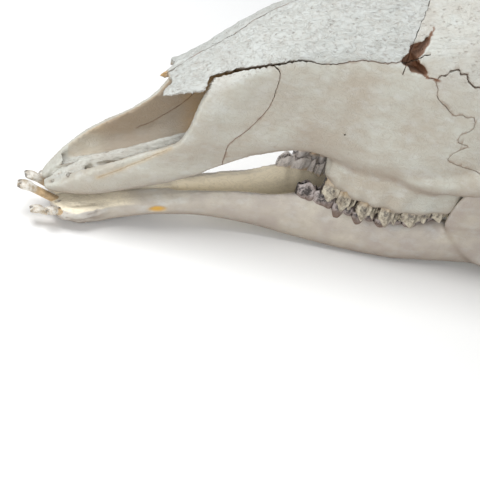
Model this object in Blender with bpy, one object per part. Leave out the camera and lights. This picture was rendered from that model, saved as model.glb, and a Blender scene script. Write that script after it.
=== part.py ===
"""Skull of a young giraffe, life size, resting on its own lower jaw.

The skull is laid out in its own frame, in millimetres: X runs back from the tip of the
premaxillae, the animal's left side is -Y, Z is up, and Z = 0 is about the tips of the upper
cheek teeth.  At the end it is tipped so that the chin and the two jaw angles stand on the
floor, its bounding box is centred over the origin, and millimetres become metres.
"""
import math
import bpy
import bmesh
from mathutils import Matrix, Vector

MM = 0.001
GAP = 0.32                      # clear space between neighbouring bones

# Driving sizes of the upper skull
NASAL_TIP_X = 87.0
NASAL_END_X = 300.0             # nasals meet the frontals on the midline
ORBIT_CENTRE = (434.0, 101.0, 143.0)
ORBIT_RADIUS = 32.5
BROW_HALF_WIDTH = 115.0
NUCHAL_X = 598.0
OSSICONE_FOOT = (492.0, 47.0, 212.0)
OSSICONE_LENGTH = 128.0
OSSICONE_LEAN = 47.0            # degrees back from upright
OSSICONE_SPLAY = 9.0            # degrees outward

# Driving sizes of the lower jaw
JAW_CONDYLE = (534.0, 84.0, 95.0)
JAW_REST_FRONT = (30.0, -37.0)  # x, z of the chin's lowest point
JAW_REST_REAR = (492.0, -70.0)  # x, z of the lowest point of the jaw angle
REST_SHAVE = 0.9                # depth of the small flats it stands on

# Upper cheek teeth: front edge of P2, then the back edge of each tooth from P2 to M3
UPPER_EDGES = (244.0, 259.0, 278.0, 298.0, 321.0, 353.0, 379.0)
UPPER_WIDTHS = (12.0, 18.0, 21.0, 24.0, 26.0, 23.0)
UPPER_CROWNS = (12.5, 13.0, 13.5, 13.5, 12.5, 9.0)
BITE_SLOPE = 0.28               # worn faces rise inward
LOWER_EDGES = (223.0, 239.0, 259.0, 280.0, 304.0, 333.0, 372.0)
LOWER_WIDTHS = (8.5, 11.0, 13.5, 15.0, 16.0, 15.0)
LOWER_CROWNS = (13.0, 13.5, 14.5, 15.0, 14.0, 11.5)

VOXEL = 2.4                     # grain at which the pieces of a bone are melted together
CRANIUM_FACES = 5600
JAW_FACES = 1650


# Curves and rings.
def track(*stops):
    """Smooth monotone curve through (place, value) stops, level beyond both ends."""
    xs = [s[0] for s in stops]
    ys = [s[1] for s in stops]
    d = [(ys[i + 1] - ys[i]) / (xs[i + 1] - xs[i]) for i in range(len(xs) - 1)]
    m = [d[0]] + [0.0 if a * b <= 0 else 2 * a * b / (a + b) for a, b in zip(d, d[1:])] + [d[-1]]

    def value(x):
        if x <= xs[0]:
            return ys[0]
        if x >= xs[-1]:
            return ys[-1]
        i = max(k for k in range(len(xs) - 1) if xs[k] <= x)
        h = xs[i + 1] - xs[i]
        t = (x - xs[i]) / h
        return ((1 + 2 * t) * (1 - t) ** 2 * ys[i] + t * (1 - t) ** 2 * h * m[i]
                + t * t * (3 - 2 * t) * ys[i + 1] - t * t * (1 - t) * h * m[i + 1])
    return value


def steps(a, b, spacing):
    n = max(2, round(abs(b - a) / spacing))
    return [a + (b - a) * i / n for i in range(n + 1)]


def bend(points, per_span=4, closed=False):
    """Catmull-Rom curve through points, with per_span samples to a span."""
    pts = [Vector(p) for p in points]
    n = len(pts)
    out = []
    for i in range(n if closed else n - 1):
        if closed:
            p0, p1, p2, p3 = pts[i - 1], pts[i], pts[(i + 1) % n], pts[(i + 2) % n]
        else:
            p0, p1, p2, p3 = pts[max(i - 1, 0)], pts[i], pts[i + 1], pts[min(i + 2, n - 1)]
        for k in range(per_span):
            t = k / per_span
            out.append(0.5 * (2 * p1 + (p2 - p0) * t + (2 * p0 - 5 * p1 + 4 * p2 - p3) * t * t
                              + (3 * p1 - p0 - 3 * p2 + p3) * t ** 3))
    if not closed:
        out.append(pts[-1])
    return out


def both_sides(half, x, per_span=4):
    """Ring at x from a half outline of (y, z) points, top of the midline to its foot."""
    ring = [(y, z) for y, z in half] + [(-y, z) for y, z in reversed(half[1:-1])]
    return [Vector((x, p[0], p[1])) for p in bend([(y, z, 0) for y, z in ring], per_span, True)]


def oval(centre, along, wide, tall, sides=14, squareness=2.0, up=(0, 0, 1)):
    """Ring round a curve point: half width, half height, superellipse exponent."""
    along = Vector(along).normalized()
    side = Vector(up).cross(along).normalized()
    top = along.cross(side)
    ring = []
    for k in range(sides):
        a = 2 * math.pi * k / sides
        c, s = math.cos(a), math.sin(a)
        c = math.copysign(abs(c) ** (2 / squareness), c)
        s = math.copysign(abs(s) ** (2 / squareness), s)
        ring.append(Vector(centre) + side * (wide * c) + top * (tall * s))
    return ring


# Solids.
def solid(name, bm):
    bmesh.ops.recalc_face_normals(bm, faces=bm.faces)
    mesh = bpy.data.meshes.new(name)
    bm.to_mesh(mesh)
    bm.free()
    obj = bpy.data.objects.new(name, mesh)
    bpy.context.scene.collection.objects.link(obj)
    return obj


def loft(name, rings):
    """Closed skin over rings of equal length, with a fan on each end."""
    bm = bmesh.new()
    rows = [[bm.verts.new(p) for p in ring] for ring in rings]
    n = len(rows[0])
    for a, b in zip(rows, rows[1:]):
        for k in range(n):
            bm.faces.new((a[k], a[(k + 1) % n], b[(k + 1) % n], b[k]))
    for row in (rows[0], rows[-1]):
        hub = bm.verts.new(sum((v.co for v in row), Vector()) / n)
        for k in range(n):
            bm.faces.new((row[k], row[(k + 1) % n], hub))
    return solid(name, bm)


def rope(name, points, wides, talls, sides=14, squareness=2.0, per_span=4, up=(0, 0, 1)):
    """Tube through points; wides and talls are half sizes at each of them."""
    path = bend(points, per_span)
    sizes = bend([(w, t, 0) for w, t in zip(wides, talls)], per_span)
    rings = []
    for i, p in enumerate(path):
        along = path[min(i + 1, len(path) - 1)] - path[max(i - 1, 0)]
        rings.append(oval(p, along, max(sizes[i].x, 0.4), max(sizes[i].y, 0.4), sides, squareness, up))
    return loft(name, rings)


def ball(name, centre, radii, turn=(0, 0, 0), detail=3):
    bm = bmesh.new()
    bmesh.ops.create_icosphere(bm, subdivisions=detail, radius=1.0)
    rot = Matrix.Rotation(math.radians(turn[2]), 4, 'Z') @ Matrix.Rotation(
        math.radians(turn[1]), 4, 'Y') @ Matrix.Rotation(math.radians(turn[0]), 4, 'X')
    bmesh.ops.transform(bm, matrix=Matrix.Translation(centre) @ rot @ Matrix.Diagonal((*radii, 1)),
                        verts=bm.verts)
    return solid(name, bm)


def disc(name, centre, normal, radius, thick, sides=24):
    """Thin round plate."""
    bm = bmesh.new()
    bmesh.ops.create_cone(bm, cap_ends=True, segments=sides, radius1=radius, radius2=radius, depth=thick)
    turn = Vector((0, 0, 1)).rotation_difference(Vector(normal).normalized()).to_matrix().to_4x4()
    bmesh.ops.transform(bm, matrix=Matrix.Translation(centre) @ turn, verts=bm.verts)
    return solid(name, bm)


def slab(name, outline, low, high, axis):
    """Prism over a closed outline of (u, v) points, from low to high along axis 'Y' or 'Z'."""
    place = (lambda u, v, w: (u, w, v)) if axis == 'Y' else (lambda u, v, w: (u, v, w))
    bm = bmesh.new()
    a = [bm.verts.new(place(u, v, low)) for u, v in outline]
    b = [bm.verts.new(place(u, v, high)) for u, v in outline]
    n = len(outline)
    bm.faces.new(a)
    bm.faces.new(b[::-1])
    for k in range(n):
        bm.faces.new((a[k], b[k], b[(k + 1) % n], a[(k + 1) % n]))
    bmesh.ops.triangulate(bm, faces=[f for f in bm.faces if len(f.verts) > 4])
    return solid(name, bm)


def flip_over(obj):
    """Turn a left piece into its mirror image, for the right side."""
    obj.data.transform(Matrix.Diagonal((1, -1, 1, 1)))
    obj.data.flip_normals()
    return obj


def other_side(obj):
    twin = bpy.data.objects.new(obj.name + "_right", obj.data.copy())
    bpy.context.scene.collection.objects.link(twin)
    return flip_over(twin)


def pair(obj):
    return [obj, other_side(obj)]


# Joining and cutting.
def drop(objs):
    for o in objs:
        bpy.data.objects.remove(o)


def settle(obj):
    """Replace an object's mesh by what its modifiers make of it."""
    graph = bpy.context.evaluated_depsgraph_get()
    graph.update()
    mesh = bpy.data.meshes.new_from_object(obj.evaluated_get(graph))
    obj.modifiers.clear()
    obj.data = mesh
    return obj


def gather(name, objs):
    """One object that holds the meshes of many, as separate shells."""
    bm = bmesh.new()
    for o in objs:
        bm.from_mesh(o.data)
    drop(objs)
    mesh = bpy.data.meshes.new(name)
    bm.to_mesh(mesh)
    bm.free()
    obj = bpy.data.objects.new(name, mesh)
    bpy.context.scene.collection.objects.link(obj)
    return obj


def melt(obj, voxel, rounds=3, factor=0.5):
    """Fuse overlapping shells into one skin and soften where they met."""
    grid = obj.modifiers.new("Melt", 'REMESH')
    grid.mode = 'VOXEL'
    grid.voxel_size = voxel
    soft = obj.modifiers.new("Soften", 'SMOOTH')
    soft.factor = factor
    soft.iterations = rounds
    return settle(obj)


def join_or_cut(obj, tools, operation, solver='EXACT'):
    """Boolean of one body with a collection of closed ones."""
    group = bpy.data.collections.new("tools")
    bpy.context.scene.collection.children.link(group)
    for t in tools:
        for c in list(t.users_collection):
            c.objects.unlink(t)
        group.objects.link(t)
    mod = obj.modifiers.new(operation, 'BOOLEAN')
    mod.operation = operation
    mod.operand_type = 'COLLECTION'
    mod.collection = group
    mod.solver = solver
    settle(obj)
    drop(tools)
    bpy.data.collections.remove(group)
    return obj


def thin_out(obj, faces):
    obj.data.update()
    count = sum(len(p.vertices) - 2 for p in obj.data.polygons)
    mod = obj.modifiers.new("Thin out", 'DECIMATE')
    mod.ratio = min(1.0, faces / count)
    mod.use_collapse_triangulate = True
    return settle(obj)


def shells(obj):
    """Split a mesh into its closed surfaces, largest first."""
    bm = bmesh.new()
    bm.from_mesh(obj.data)
    bm.verts.index_update()
    seen, groups = set(), []
    for start in bm.verts:
        if start.index in seen:
            continue
        seen.add(start.index)
        stack, verts = [start], []
        while stack:
            v = stack.pop()
            verts.append(v)
            for e in v.link_edges:
                w = e.other_vert(v)
                if w.index not in seen:
                    seen.add(w.index)
                    stack.append(w)
        groups.append(verts)
    parts = []
    for verts in groups:
        sub = bmesh.new()
        made = {v: sub.verts.new(v.co) for v in verts}
        for f in {f for v in verts for f in v.link_faces}:
            sub.faces.new([made[v] for v in f.verts])
        parts.append((sub.calc_volume(signed=False), sub))
    bm.free()
    parts.sort(key=lambda p: -p[0])
    return [solid("shell", sub) for _, sub in parts]


# Upper skull, front part.
roof = track((-1, 6), (40, 57.5), (87, 98), (113, 118), (136, 135), (150, 147), (175, 164),
             (200, 177), (230, 190), (270, 203), (320, 215), (370, 224), (420, 229),
             (460, 229), (500, 223), (540, 208), (575, 188), (NUCHAL_X, 168), (606, 140))
shoulder_y = track((-1, 9), (40, 26), (87, 29), (115, 33), (163, 39), (200, 43), (240, 49),
                   (271, 55), (300, 62), (340, 72), (400, 92))
shoulder_z = track((-1, 3), (40, 46), (87, 90), (115, 100), (163, 130), (200, 141),
                   (240, 148), (271, 153), (300, 160), (340, 168), (400, 178))
wall_y = track((-1, 12), (9, 17), (24, 23), (39, 27.5), (69, 31.5), (96, 34), (118, 35),
               (150, 34.5), (186, 38), (230, 47), (271, 58), (300, 66), (345, 77), (400, 90))
wall_z = track((-1, -3), (39, 15), (69, 27), (100, 46), (118, 60), (150, 84), (186, 92),
               (230, 94), (300, 88), (345, 80), (400, 90))
foot_y = track((-1, 10), (10, 14), (36, 23), (67, 27), (122, 29), (171, 31), (216, 35),
               (245, 43), (280, 56), (320, 66), (370, 70), (400, 60))
foot_z = track((-1, -9), (10, -9), (36, -5), (67, 4), (97, 12), (122, 20.5), (140, 30.5),
               (171, 43), (216, 51), (245, 47), (280, 42), (330, 42), (400, 60))
keel_z = track((-1, -7), (36, 3), (67, 11), (97, 19), (122, 29), (140, 40), (171, 52),
               (216, 58), (245, 50), (280, 40), (330, 36), (400, 40))


def face_ring(x):
    top, sy, sz = roof(x), shoulder_y(x), shoulder_z(x)
    return both_sides([(0, top), (sy * 0.52, top - (top - sz) * 0.26), (sy, sz),
                       (wall_y(x), wall_z(x)), (foot_y(x), foot_z(x)),
                       (foot_y(x) * 0.55, keel_z(x) - 1), (0, keel_z(x))], x)


brow_y = track((300, 56), (340, 72), (375, 92), (405, 107), (440, BROW_HALF_WIDTH), (466, 110),
               (488, 92), (510, 72), (545, 60), (580, 57), (NUCHAL_X, 50), (606, 34))
brow_z = track((300, 162), (340, 172), (375, 182), (410, 188), (440, 190), (470, 187),
               (500, 178), (545, 162), (580, 148), (606, 118))
temple_y = track((300, 60), (340, 74), (375, 88), (410, 96), (445, 100), (468, 92), (488, 72),
                 (515, 58), (560, 58), (585, 55), (606, 36))
temple_z = track((300, 120), (400, 120), (470, 118), (560, 112), (608, 104))
floor_y = track((300, 40), (380, 52), (440, 46), (500, 38), (560, 42), (608, 30))
floor_z = track((300, 84), (380, 78), (440, 76), (500, 72), (560, 68), (608, 70))


def vault_ring(x):
    top = roof(x)
    return both_sides([(0, top), (brow_y(x) * 0.55, top - (top - brow_z(x)) * 0.22),
                       (brow_y(x), brow_z(x)), (temple_y(x), temple_z(x)),
                       (floor_y(x), floor_z(x)), (0, floor_z(x) - 3)], x)


gum_y = track((240, 39), (250, 42), (278, 55), (298, 61), (321, 66), (353, 67), (386, 61))
gum_z = track((240, 28), (252, 18.5), (259, 14.5), (272, 11), (284, 8.5), (300, 7), (319, 4.5),
              (335, 5), (353, 6), (386, 6))
gum_wide = track((240, 11), (259, 20), (298, 26), (350, 30), (386, 20))


def gum_ring(x):
    """Bone that holds the left upper cheek teeth, seen end on."""
    outer, wide, low = -gum_y(x), gum_wide(x), gum_z(x)
    back = max(0.0, (x - 366) / 22) ** 2            # rounds off behind the last molar
    low += 22 * back
    high = 72 - 0.1 * (x - 240)
    return [Vector((x, y, z)) for y, z in (
        (outer + 3 * back, low + 6), (outer + 2 + 5 * back, low + 1.5), (outer + 6 + 4 * back, low),
        (outer + wide - 5, low), (outer + wide - 1, low + 4), (outer + wide + 3, low + 18),
        (outer + wide + 2, high), (outer + 18, high), (outer + 3, (low + high) / 2 + 6),
        (outer + 0.5, (low + high) / 2 - 6))]


def upper_skull_pieces():
    pieces = [loft("face", [face_ring(x) for x in steps(-1, 400, 8)]),
              loft("vault", [vault_ring(x) for x in steps(300, 606, 8)])]
    pieces += pair(loft("gum", [gum_ring(x) for x in steps(241, 388, 6)]))
    # facial crest, cheek bone and arch back to the ear
    pieces += pair(rope("cheek_arch", [(286, -55, 50), (320, -64, 42), (356, -73, 46), (384, -85, 58),
                                       (410, -96, 80), (440, -103, 97), (472, -106, 102),
                                       (506, -101, 105), (534, -88, 111), (556, -64, 112)],
                        (3, 7, 8, 8, 7, 6.5, 6, 6, 9, 8), (4, 9, 13, 17, 17, 12, 10, 9, 10, 10), sides=16))
    pieces += pair(rope("orbit_floor", [(372, -66, 70), (400, -82, 96), (424, -96, 108)],
                        (16, 14, 8), (26, 20, 8), sides=16))
    pieces += pair(rope("orbit_bar", [(474, -105, 104), (479, -109, 140), (470, -104, 178),
                                      (462, -92, 192)], (7, 6, 7, 10), (6, 6, 7, 9), sides=12,
                        up=(1, 0, 0)))
    cx, cy, cz = ORBIT_CENTRE
    rim = []
    for k in range(16):
        a = 2 * math.pi * k / 16
        rim.append((cx + 1 + (ORBIT_RADIUS + 5) * math.cos(a), -cy - 5 * math.sin(a) - 4 * math.cos(a),
                    cz + (ORBIT_RADIUS + 5) * math.sin(a)))
    rings = []
    for i, p in enumerate(rim):
        out = Vector(p) - Vector((cx, -cy, cz))
        rings.append(oval(p, Vector(rim[(i + 1) % 16]) - Vector(rim[i - 1]), 6, 6.5, 10, 2, out))
    bm = bmesh.new()
    rows = [[bm.verts.new(q) for q in ring] for ring in rings]
    for i in range(16):
        a, b = rows[i - 1], rows[i]
        for k in range(10):
            bm.faces.new((a[k], a[(k + 1) % 10], b[(k + 1) % 10], b[k]))
    pieces += pair(solid("orbit_rim", bm))
    # joint for the lower jaw, with the ear region behind it
    pieces += pair(ball("jaw_joint", (533, -82, 111), (20, 25, 11)))
    pieces += pair(ball("ear_root", (562, -56, 104), (16, 18, 20)))
    pieces += pair(rope("ear_tube", [(560, -52, 90), (556, -66, 96)], (7, 6), (7, 6), sides=12))
    pieces += pair(ball("bulla", (560, -32, 55), (15, 9, 13), (0, 20, 0)))
    pieces += pair(rope("jugular_process", [(582, -46, 92), (588, -45, 62), (590, -40, 30)],
                        (11, 9, 5), (8, 6.5, 4.5), sides=12, up=(1, 0, 0)))
    # base of the brain case, back of the palate, back of the head
    pieces.append(rope("skull_base", [(388, 0, 66), (440, 0, 70), (500, 0, 62), (560, 0, 62),
                                      (604, 0, 66)], (22, 14, 14, 18, 26), (22, 12, 12, 12, 14)))
    pieces += pair(rope("palate_wing", [(366, -24, 44), (400, -21, 44), (432, -20, 50),
                                        (464, -20, 60)], (8, 5, 5, 7), (14, 22, 25, 14), sides=12))
    pieces += pair(ball("condyle", (601, -22, 68), (15, 13, 17), (0, -25, -18)))
    pieces.append(rope("nuchal_crest", [(568, -57, 112), (586, -54, 134), (595, -43, 150),
                                        (598, -23, 160), (599, 0, 163), (598, 23, 160),
                                        (595, 43, 150), (586, 54, 134), (568, 57, 112)],
                       (5, 6, 7, 8, 8, 8, 7, 6, 5), (5, 6, 6, 7, 7, 7, 6, 6, 5), sides=12, up=(1, 0, 0)))
    # low boss between the eyes and the swellings that carry the ossicones
    pieces.append(ball("median_boss", (376, 0, 198), (74, 42, 32), (0, -6, 0)))
    x, y, z = OSSICONE_FOOT
    pieces += pair(ball("ossicone_swelling", (x - 6, -y, z - 14), (38, 30, 22), (0, 20, 0)))
    return pieces


# Openings of the upper skull.
ridge_z = track((12, 5), (33, 17.5), (55, 24.5), (76, 31), (116, 41), (150, 53), (200, 66), (250, 66))


def nasal_hollow():
    """Airway from the opening to below the back of the nasals, with a flat ridge along its floor."""
    rings = []
    for x in steps(14, 318, 8):
        close = 1 - max(0.0, (x - 292) / 30.0) ** 2
        top = roof(x) - 6.5
        sy = max(shoulder_y(x) - 6.5, 3) * close
        wy = max(wall_y(x) - 6, 3) * close
        fz = max(keel_z(x), foot_z(x)) + 9
        low = fz + (1 - close) * 40
        crest = max(ridge_z(x), low + 3)
        rings.append(both_sides([(0, top), (sy * 0.52, top - (top - shoulder_z(x)) * 0.26),
                                 (sy, shoulder_z(x) - 3), (wy, max(wall_z(x), low + 14)),
                                 (wy * 0.86, low + 3), (min(13, wy * 0.6), low),
                                 (min(8, wy * 0.36), crest - 1.5), (0, crest)], x))
    return loft("airway", rings)


LEFT_MARGIN = ((-30, -8), (-6, -5), (2, -1), (11, 3), (25, 15), (39, 25), (69, 41), (96, 53),
               (104, 64), (107, 73), (111, 90), (116, 99.5))
RIGHT_MARGIN = ((-30, -8), (-6, -5), (2, 2), (15, 15.5), (33, 28.5), (53, 40), (72, 50.5), (90, 64),
                (98, 74.5), (104, 84.5), (110, 93), (116, 99.5))


def aperture(margin, side):
    """Space above one premaxilla and in front of the nasals' side edge."""
    over = [(108, 97.5), (98, 95), (84, 90), (78, 89.5), (68, 95), (40, 110), (-30, 110)]
    low, high = (-70, 0.01) if side < 0 else (-0.01, 70)
    return slab("aperture", list(margin) + over, low, high, 'Y')


def nasal_front():
    """Trims the front of the nasals to two points on each side with a notch between."""
    tips = [(60, -60), (120, -60), (116, -40), (92, -31), (NASAL_TIP_X - 7, -25), (82, -20), (91, -12),
            (90, -7), (NASAL_TIP_X + 2, -4), (91, -1), (90, 0.6), (NASAL_TIP_X - 4, 1.4),
            (NASAL_TIP_X - 3, 3.2), (92, 6), (98, 12), (97, 19), (98, 25), (105, 31), (116, 40), (120, 60), (60, 60)]
    return slab("nasal_front", tips, 86, 140, 'Z')


def palate_slots():
    """The long slot on each side of the palatine processes, and the gap at the tip."""
    slot = [(30, -9), (45, -10.5), (75, -12.5), (105, -13), (121, -11), (121, -9), (100, -8.5),
            (70, -8.5), (45, -7), (30, -6)]
    tip = [(-12, 3.2), (2, 2.6), (14, 1.2), (19, 0), (14, -1.2), (2, -2.6), (-12, -3.2)]
    return pair(slab("palate_slot", slot, -20, 80, 'Z')) + [slab("tip_gap", tip, -20, 60, 'Z')]


def orbit_cut():
    cx, cy, cz = ORBIT_CENTRE
    r = ORBIT_RADIUS
    return pair(rope("orbit", [(462, -34, 132), (450, -62, 138), (cx + 3, -cy + 12, cz - 1),
                               (cx - 2, -cy - 14, cz + 1), (cx - 8, -cy - 60, cz + 3)],
                     (5, 22, r - 0.5, r + 1, r + 12), (5, 21, r - 0.5, r + 1, r + 12), sides=20))


def other_cuts():
    cuts = pair(ball("temporal_fossa", (512, -84, 140), (26, 24, 44), (0, 18, 0)))
    cuts.append(rope("foramen_magnum", [(640, 0, 100), (606, 0, 92), (575, 0, 96), (560, 0, 100)],
                     (17, 16, 13, 6), (16, 14, 12, 6)))
    cuts.append(rope("choana", [(520, 0, 20), (440, 0, 40), (410, 0, 52), (372, 0, 62)],
                     (13, 14, 14, 8), (26, 20, 14, 8)))
    ragged = [(258, 149), (262, 153), (266, 157), (270, 168), (274, 177), (277, 171), (275, 161),
              (281, 158), (286, 148), (291, 138), (284, 140), (277, 143), (270, 140), (264, 145)]
    cuts += pair(slab("ethmoid_gap", ragged, -90, -30, 'Y'))
    return cuts


# Seams between bones.
def sheet(name, path, depth_a, depth_b, thick=GAP):
    """Thin curved wall along path; each path item is (point, inward direction)."""
    pts = [Vector(p) for p, _ in path]
    rings = []
    for i, (p, inward) in enumerate(path):
        inward = Vector(inward).normalized()
        along = pts[min(i + 1, len(pts) - 1)] - pts[max(i - 1, 0)]
        side = along.cross(inward).normalized() * (thick / 2)
        a, b = Vector(p) - inward * depth_a, Vector(p) + inward * depth_b
        rings.append([a - side, a + side, b + side, b - side])
    return loft(name, rings)


def seams():
    """Thin cuts that free premaxillae, nasals and ossicones from the cranium."""
    across = (0, 1, 0)
    line = bend([(163, 0, 131), (166, 0, 122), (168, 0, 108), (167, 0, 91),
                 (156, 0, 71), (143, 0, 57), (141, 0, 44), (141, 0, 10)], 3)
    cuts = [sheet("premaxilla_seam", [((p.x, 0, p.z), across) for p in line], 70, 70)]
    edge = bend([(104, -37, 92), (116, -33, 99.5), (138, -37, 113), (160, -41, 128), (182, -44, 137),
                 (215, -48, 141), (250, -53, 147), (268, -58, 152)], 3)
    cuts += pair(sheet("nasal_side_seam", [(p, (0, 0.8, -0.6)) for p in edge], 14, 22))
    back = bend([(258, -66, 0), (268, -52, 0), (282, -34, 0), (292, -14, 0), (NASAL_END_X, 0, 0)], 3)
    back += [Vector((p.x, -p.y, 0)) for p in reversed(back[:-1])]
    cuts.append(sheet("nasal_back_seam", [((p.x, p.y, roof(p.x)), (0, 0, -1)) for p in back], 30, 64))
    cuts.append(slab("midline_front", [(-20, -0.16), (152, -0.16), (152, 0.16), (-20, 0.16)],
                     -30, 74, 'Z'))
    x, y, z = OSSICONE_FOOT
    cuts += pair(disc("ossicone_seam", (x + 2, -y, z + 10), (0.2, -0.36, 0.91), 44, GAP))
    cuts.append(slab("midline_top", [(70, -0.16), (NASAL_END_X, -0.16), (NASAL_END_X, 0.16),
                                     (70, 0.16)], 88, 240, 'Z'))
    return cuts


def ossicone():
    """Left ossicone: a skin-covered horn core, widest at its foot, with a blunt knobbed end."""
    x, y, z = OSSICONE_FOOT
    lean, splay = math.radians(OSSICONE_LEAN), math.radians(OSSICONE_SPLAY)
    axis = Vector((math.sin(lean), -math.sin(splay), math.cos(lean))).normalized()
    foot = Vector((x, -y, z))
    along = (-10, 6, 26, 54, 84, 108, 121, OSSICONE_LENGTH)
    girth = (27, 23.5, 18.5, 15, 13.2, 14.2, 12.5, 3)
    pts = [foot + axis * a + Vector((0, 0, 1)) * 0.0009 * a * a for a in along]
    return rope("ossicone", pts, girth, [g * 1.08 for g in girth], sides=14, per_span=2, up=(0, 1, 0))


# Teeth.
CROWN_PLAN = ((-1, -0.5), (-0.5, -1), (0.5, -1), (1, -0.5), (1, 0.5), (0.5, 1), (-0.5, 1), (-1, 0.5))


def crown(name, x0, x1, y, width, base_z, tip_z, lobes, slope):
    """Left cheek tooth as a loop of lobes, each a short eight-sided post.

    The worn face rises by slope across the tooth, high on its inner side."""
    posts = []
    length = (x1 - x0) / lobes
    for i in range(lobes):
        a = x0 + length * i + 0.15
        b = x0 + length * (i + 1) + (0.6 if i < lobes - 1 else -0.15)
        mid, half_x, half_y = (a + b) / 2, (b - a) / 2, width / 2
        rings = []
        for t, grow in ((-0.5, 0.86), (0.65, 1.0), (1.0, 0.72)):
            z = base_z + (tip_z - base_z) * t
            tilt = slope * t if t > 0 else 0
            rings.append([Vector((mid + half_x * grow * u, y + half_y * grow * v,
                                  z + tilt * half_y * v)) for u, v in CROWN_PLAN])
        posts.append(loft(name, rings))
    return posts


def cheek_teeth(edges, widths, crowns, centre, base, up):
    """Left row, from the premolars in front to the last molar."""
    posts = []
    for i, (a, b) in enumerate(zip(edges, edges[1:])):
        mid = (a + b) / 2
        lobes = 1 if i < 2 else (3 if (up > 0 and i == 5) else 2)
        posts += crown("tooth", a, b, -centre(mid, widths[i]), widths[i], base(mid),
                       base(mid) + up * crowns[i], lobes, BITE_SLOPE)
    return posts


lower_gum_y = track((223, 25), (250, 30.5), (280, 36.5), (320, 43), (372, 49))
lower_gum_z = track((223, 1), (238, -2.5), (250, -5), (262, -8.5), (275, -12.5), (290, -15.5),
                    (312, -17.5), (333, -17.5), (361, -14), (376, -11))


# Lower jaw.
jaw_y = track((10, 13), (20, 13), (60, 11.5), (100, 11.5), (130, 12.5), (170, 16), (223, 24.5),
              (280, 36), (333, 46), (400, 55), (450, 63), (510, 74))
jaw_half = track((10, 8), (17, 12.5), (28, 12.5), (60, 11), (100, 10.5), (130, 8.5), (170, 7.5),
                 (223, 8), (280, 10), (340, 12), (400, 10), (450, 7), (510, 5.5))
jaw_top = track((10, -19), (18, -15.5), (40, -13.5), (60, -12.5), (90, -9), (130, -6), (170, -3.5), (200, -3),
                (223, 1), (238, -2.5), (250, -5), (262, -8.5), (275, -12.5), (290, -15.5), (312, -17.5),
                (333, -17.5), (361, -14), (380, -11), (400, -2), (430, 10))
jaw_low = track((10, -28), (17, -33), JAW_REST_FRONT, (60, -32.5), (93, -29),
                (127, -29.5), (175, -35), (226, -44.5), (280, -52.5), (311, -55.5), (351, -57.5),
                (414, -58), (450, -62), JAW_REST_REAR, (512, -64))


def jaw_ring(x):
    y, half, top, low = -jaw_y(x), jaw_half(x), jaw_top(x), jaw_low(x)
    tall = (top - low) / 2
    inner = half if x > 112 else jaw_y(x) + 4     # both halves meet along the chin
    ring = []
    for k in range(20):
        a = 2 * math.pi * k / 20
        c, s = math.cos(a), math.sin(a)
        c = math.copysign(abs(c) ** 0.8, c)
        s = math.copysign(abs(s) ** 0.8, s)
        ring.append(Vector((x, y + (inner if c > 0 else half) * c, low + tall + tall * s)))
    return ring


def lower_jaw():
    """Left half of the lower jaw."""
    pieces = [loft("jaw_body", [jaw_ring(x) for x in steps(10, 452, 8)])]
    # the plate behind the teeth, in level rings from the angle up
    front = track((-62, 452), (-50, 418), (-20, 384), (-5, 377), (15, 386), (32, 397), (50, 419),
                  (66, 441), (88, 466))
    rear = track((-62, 508), (-45, 530), (-20, 536), (10, 531), (45, 522), (66, 517), (88, 507))
    plate_y = track((-70, 72), (-20, 66), (40, 73), (92, 79))
    plate_half = track((-62, 4), (-50, 6), (0, 7), (60, 6.5), (92, 5))
    rings = []
    for z in steps(-62, 88, 8):
        mid, half = (front(z) + rear(z)) / 2, (rear(z) - front(z)) / 2
        ring = []
        for k in range(24):
            a = 2 * math.pi * k / 24
            c, s = math.cos(a), math.sin(a)
            c = math.copysign(abs(c) ** 0.8, c)
            back = mid + half * c - 440
            lean = 0.09 * back if back > 0 else 0.05 * back
            ring.append(Vector((mid + half * c, -plate_y(z) - lean + plate_half(z) * s, z)))
        rings.append(ring)
    pieces.append(loft("jaw_plate", rings))
    pieces.append(rope("coronoid", [(472, -74, 46), (485, -77, 90), (498, -78, 122), (513, -76, 150),
                                    (531, -73, 170)], (7, 7.5, 6.5, 5.5, 4), (20, 20, 14, 9.5, 5), sides=14,
                       up=(1, 0, 0)))
    x, y, z = JAW_CONDYLE
    pieces.append(rope("condyle_neck", [(502, -76, 24), (516, -80, 60), (x, -y, z)],
                       (6, 8, 12), (14, 14, 9), sides=12, up=(1, 0, 0)))
    pieces.append(ball("condyle", (x, -y, z), (11, 20, 8.5), (0, 0, 8)))
    # rounded edge of the angle, where the chewing muscle was fixed
    pieces.append(rope("jaw_angle", [(420, -60, -46), (460, -69, -55), (JAW_REST_REAR[0], -75, -60.5),
                                     (516, -78, -50), (527, -78, -24)], (7, 7, 8, 8, 6), (8, 9, 9.5, 9, 6),
                       sides=12))
    # spread end that carries the front teeth
    pieces.append(rope("chin_edge", [(11, -5, -24), (12, -15, -23), (16, -25, -21.5), (29, -27, -20.5),
                                     (46, -23, -19)], (6, 6, 6, 5, 4), (5, 6, 6.5, 6, 5), sides=12))
    return pieces


def front_tooth(root, neck, tip, crown_half, thick, root_r):
    """Spade-shaped lower front tooth: a round root that widens to a flat, curved crown."""
    root, neck, tip = Vector(root), Vector(neck), Vector(tip)
    middle = neck.lerp(tip, 0.55) + Vector((0, 0, 1.2))
    return rope("front_tooth", [root, neck, middle, tip], (root_r, root_r * 0.95, crown_half, crown_half * 0.9),
                (root_r, root_r * 0.9, thick, 0.6), sides=8, squareness=2.4, per_span=2)


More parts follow.
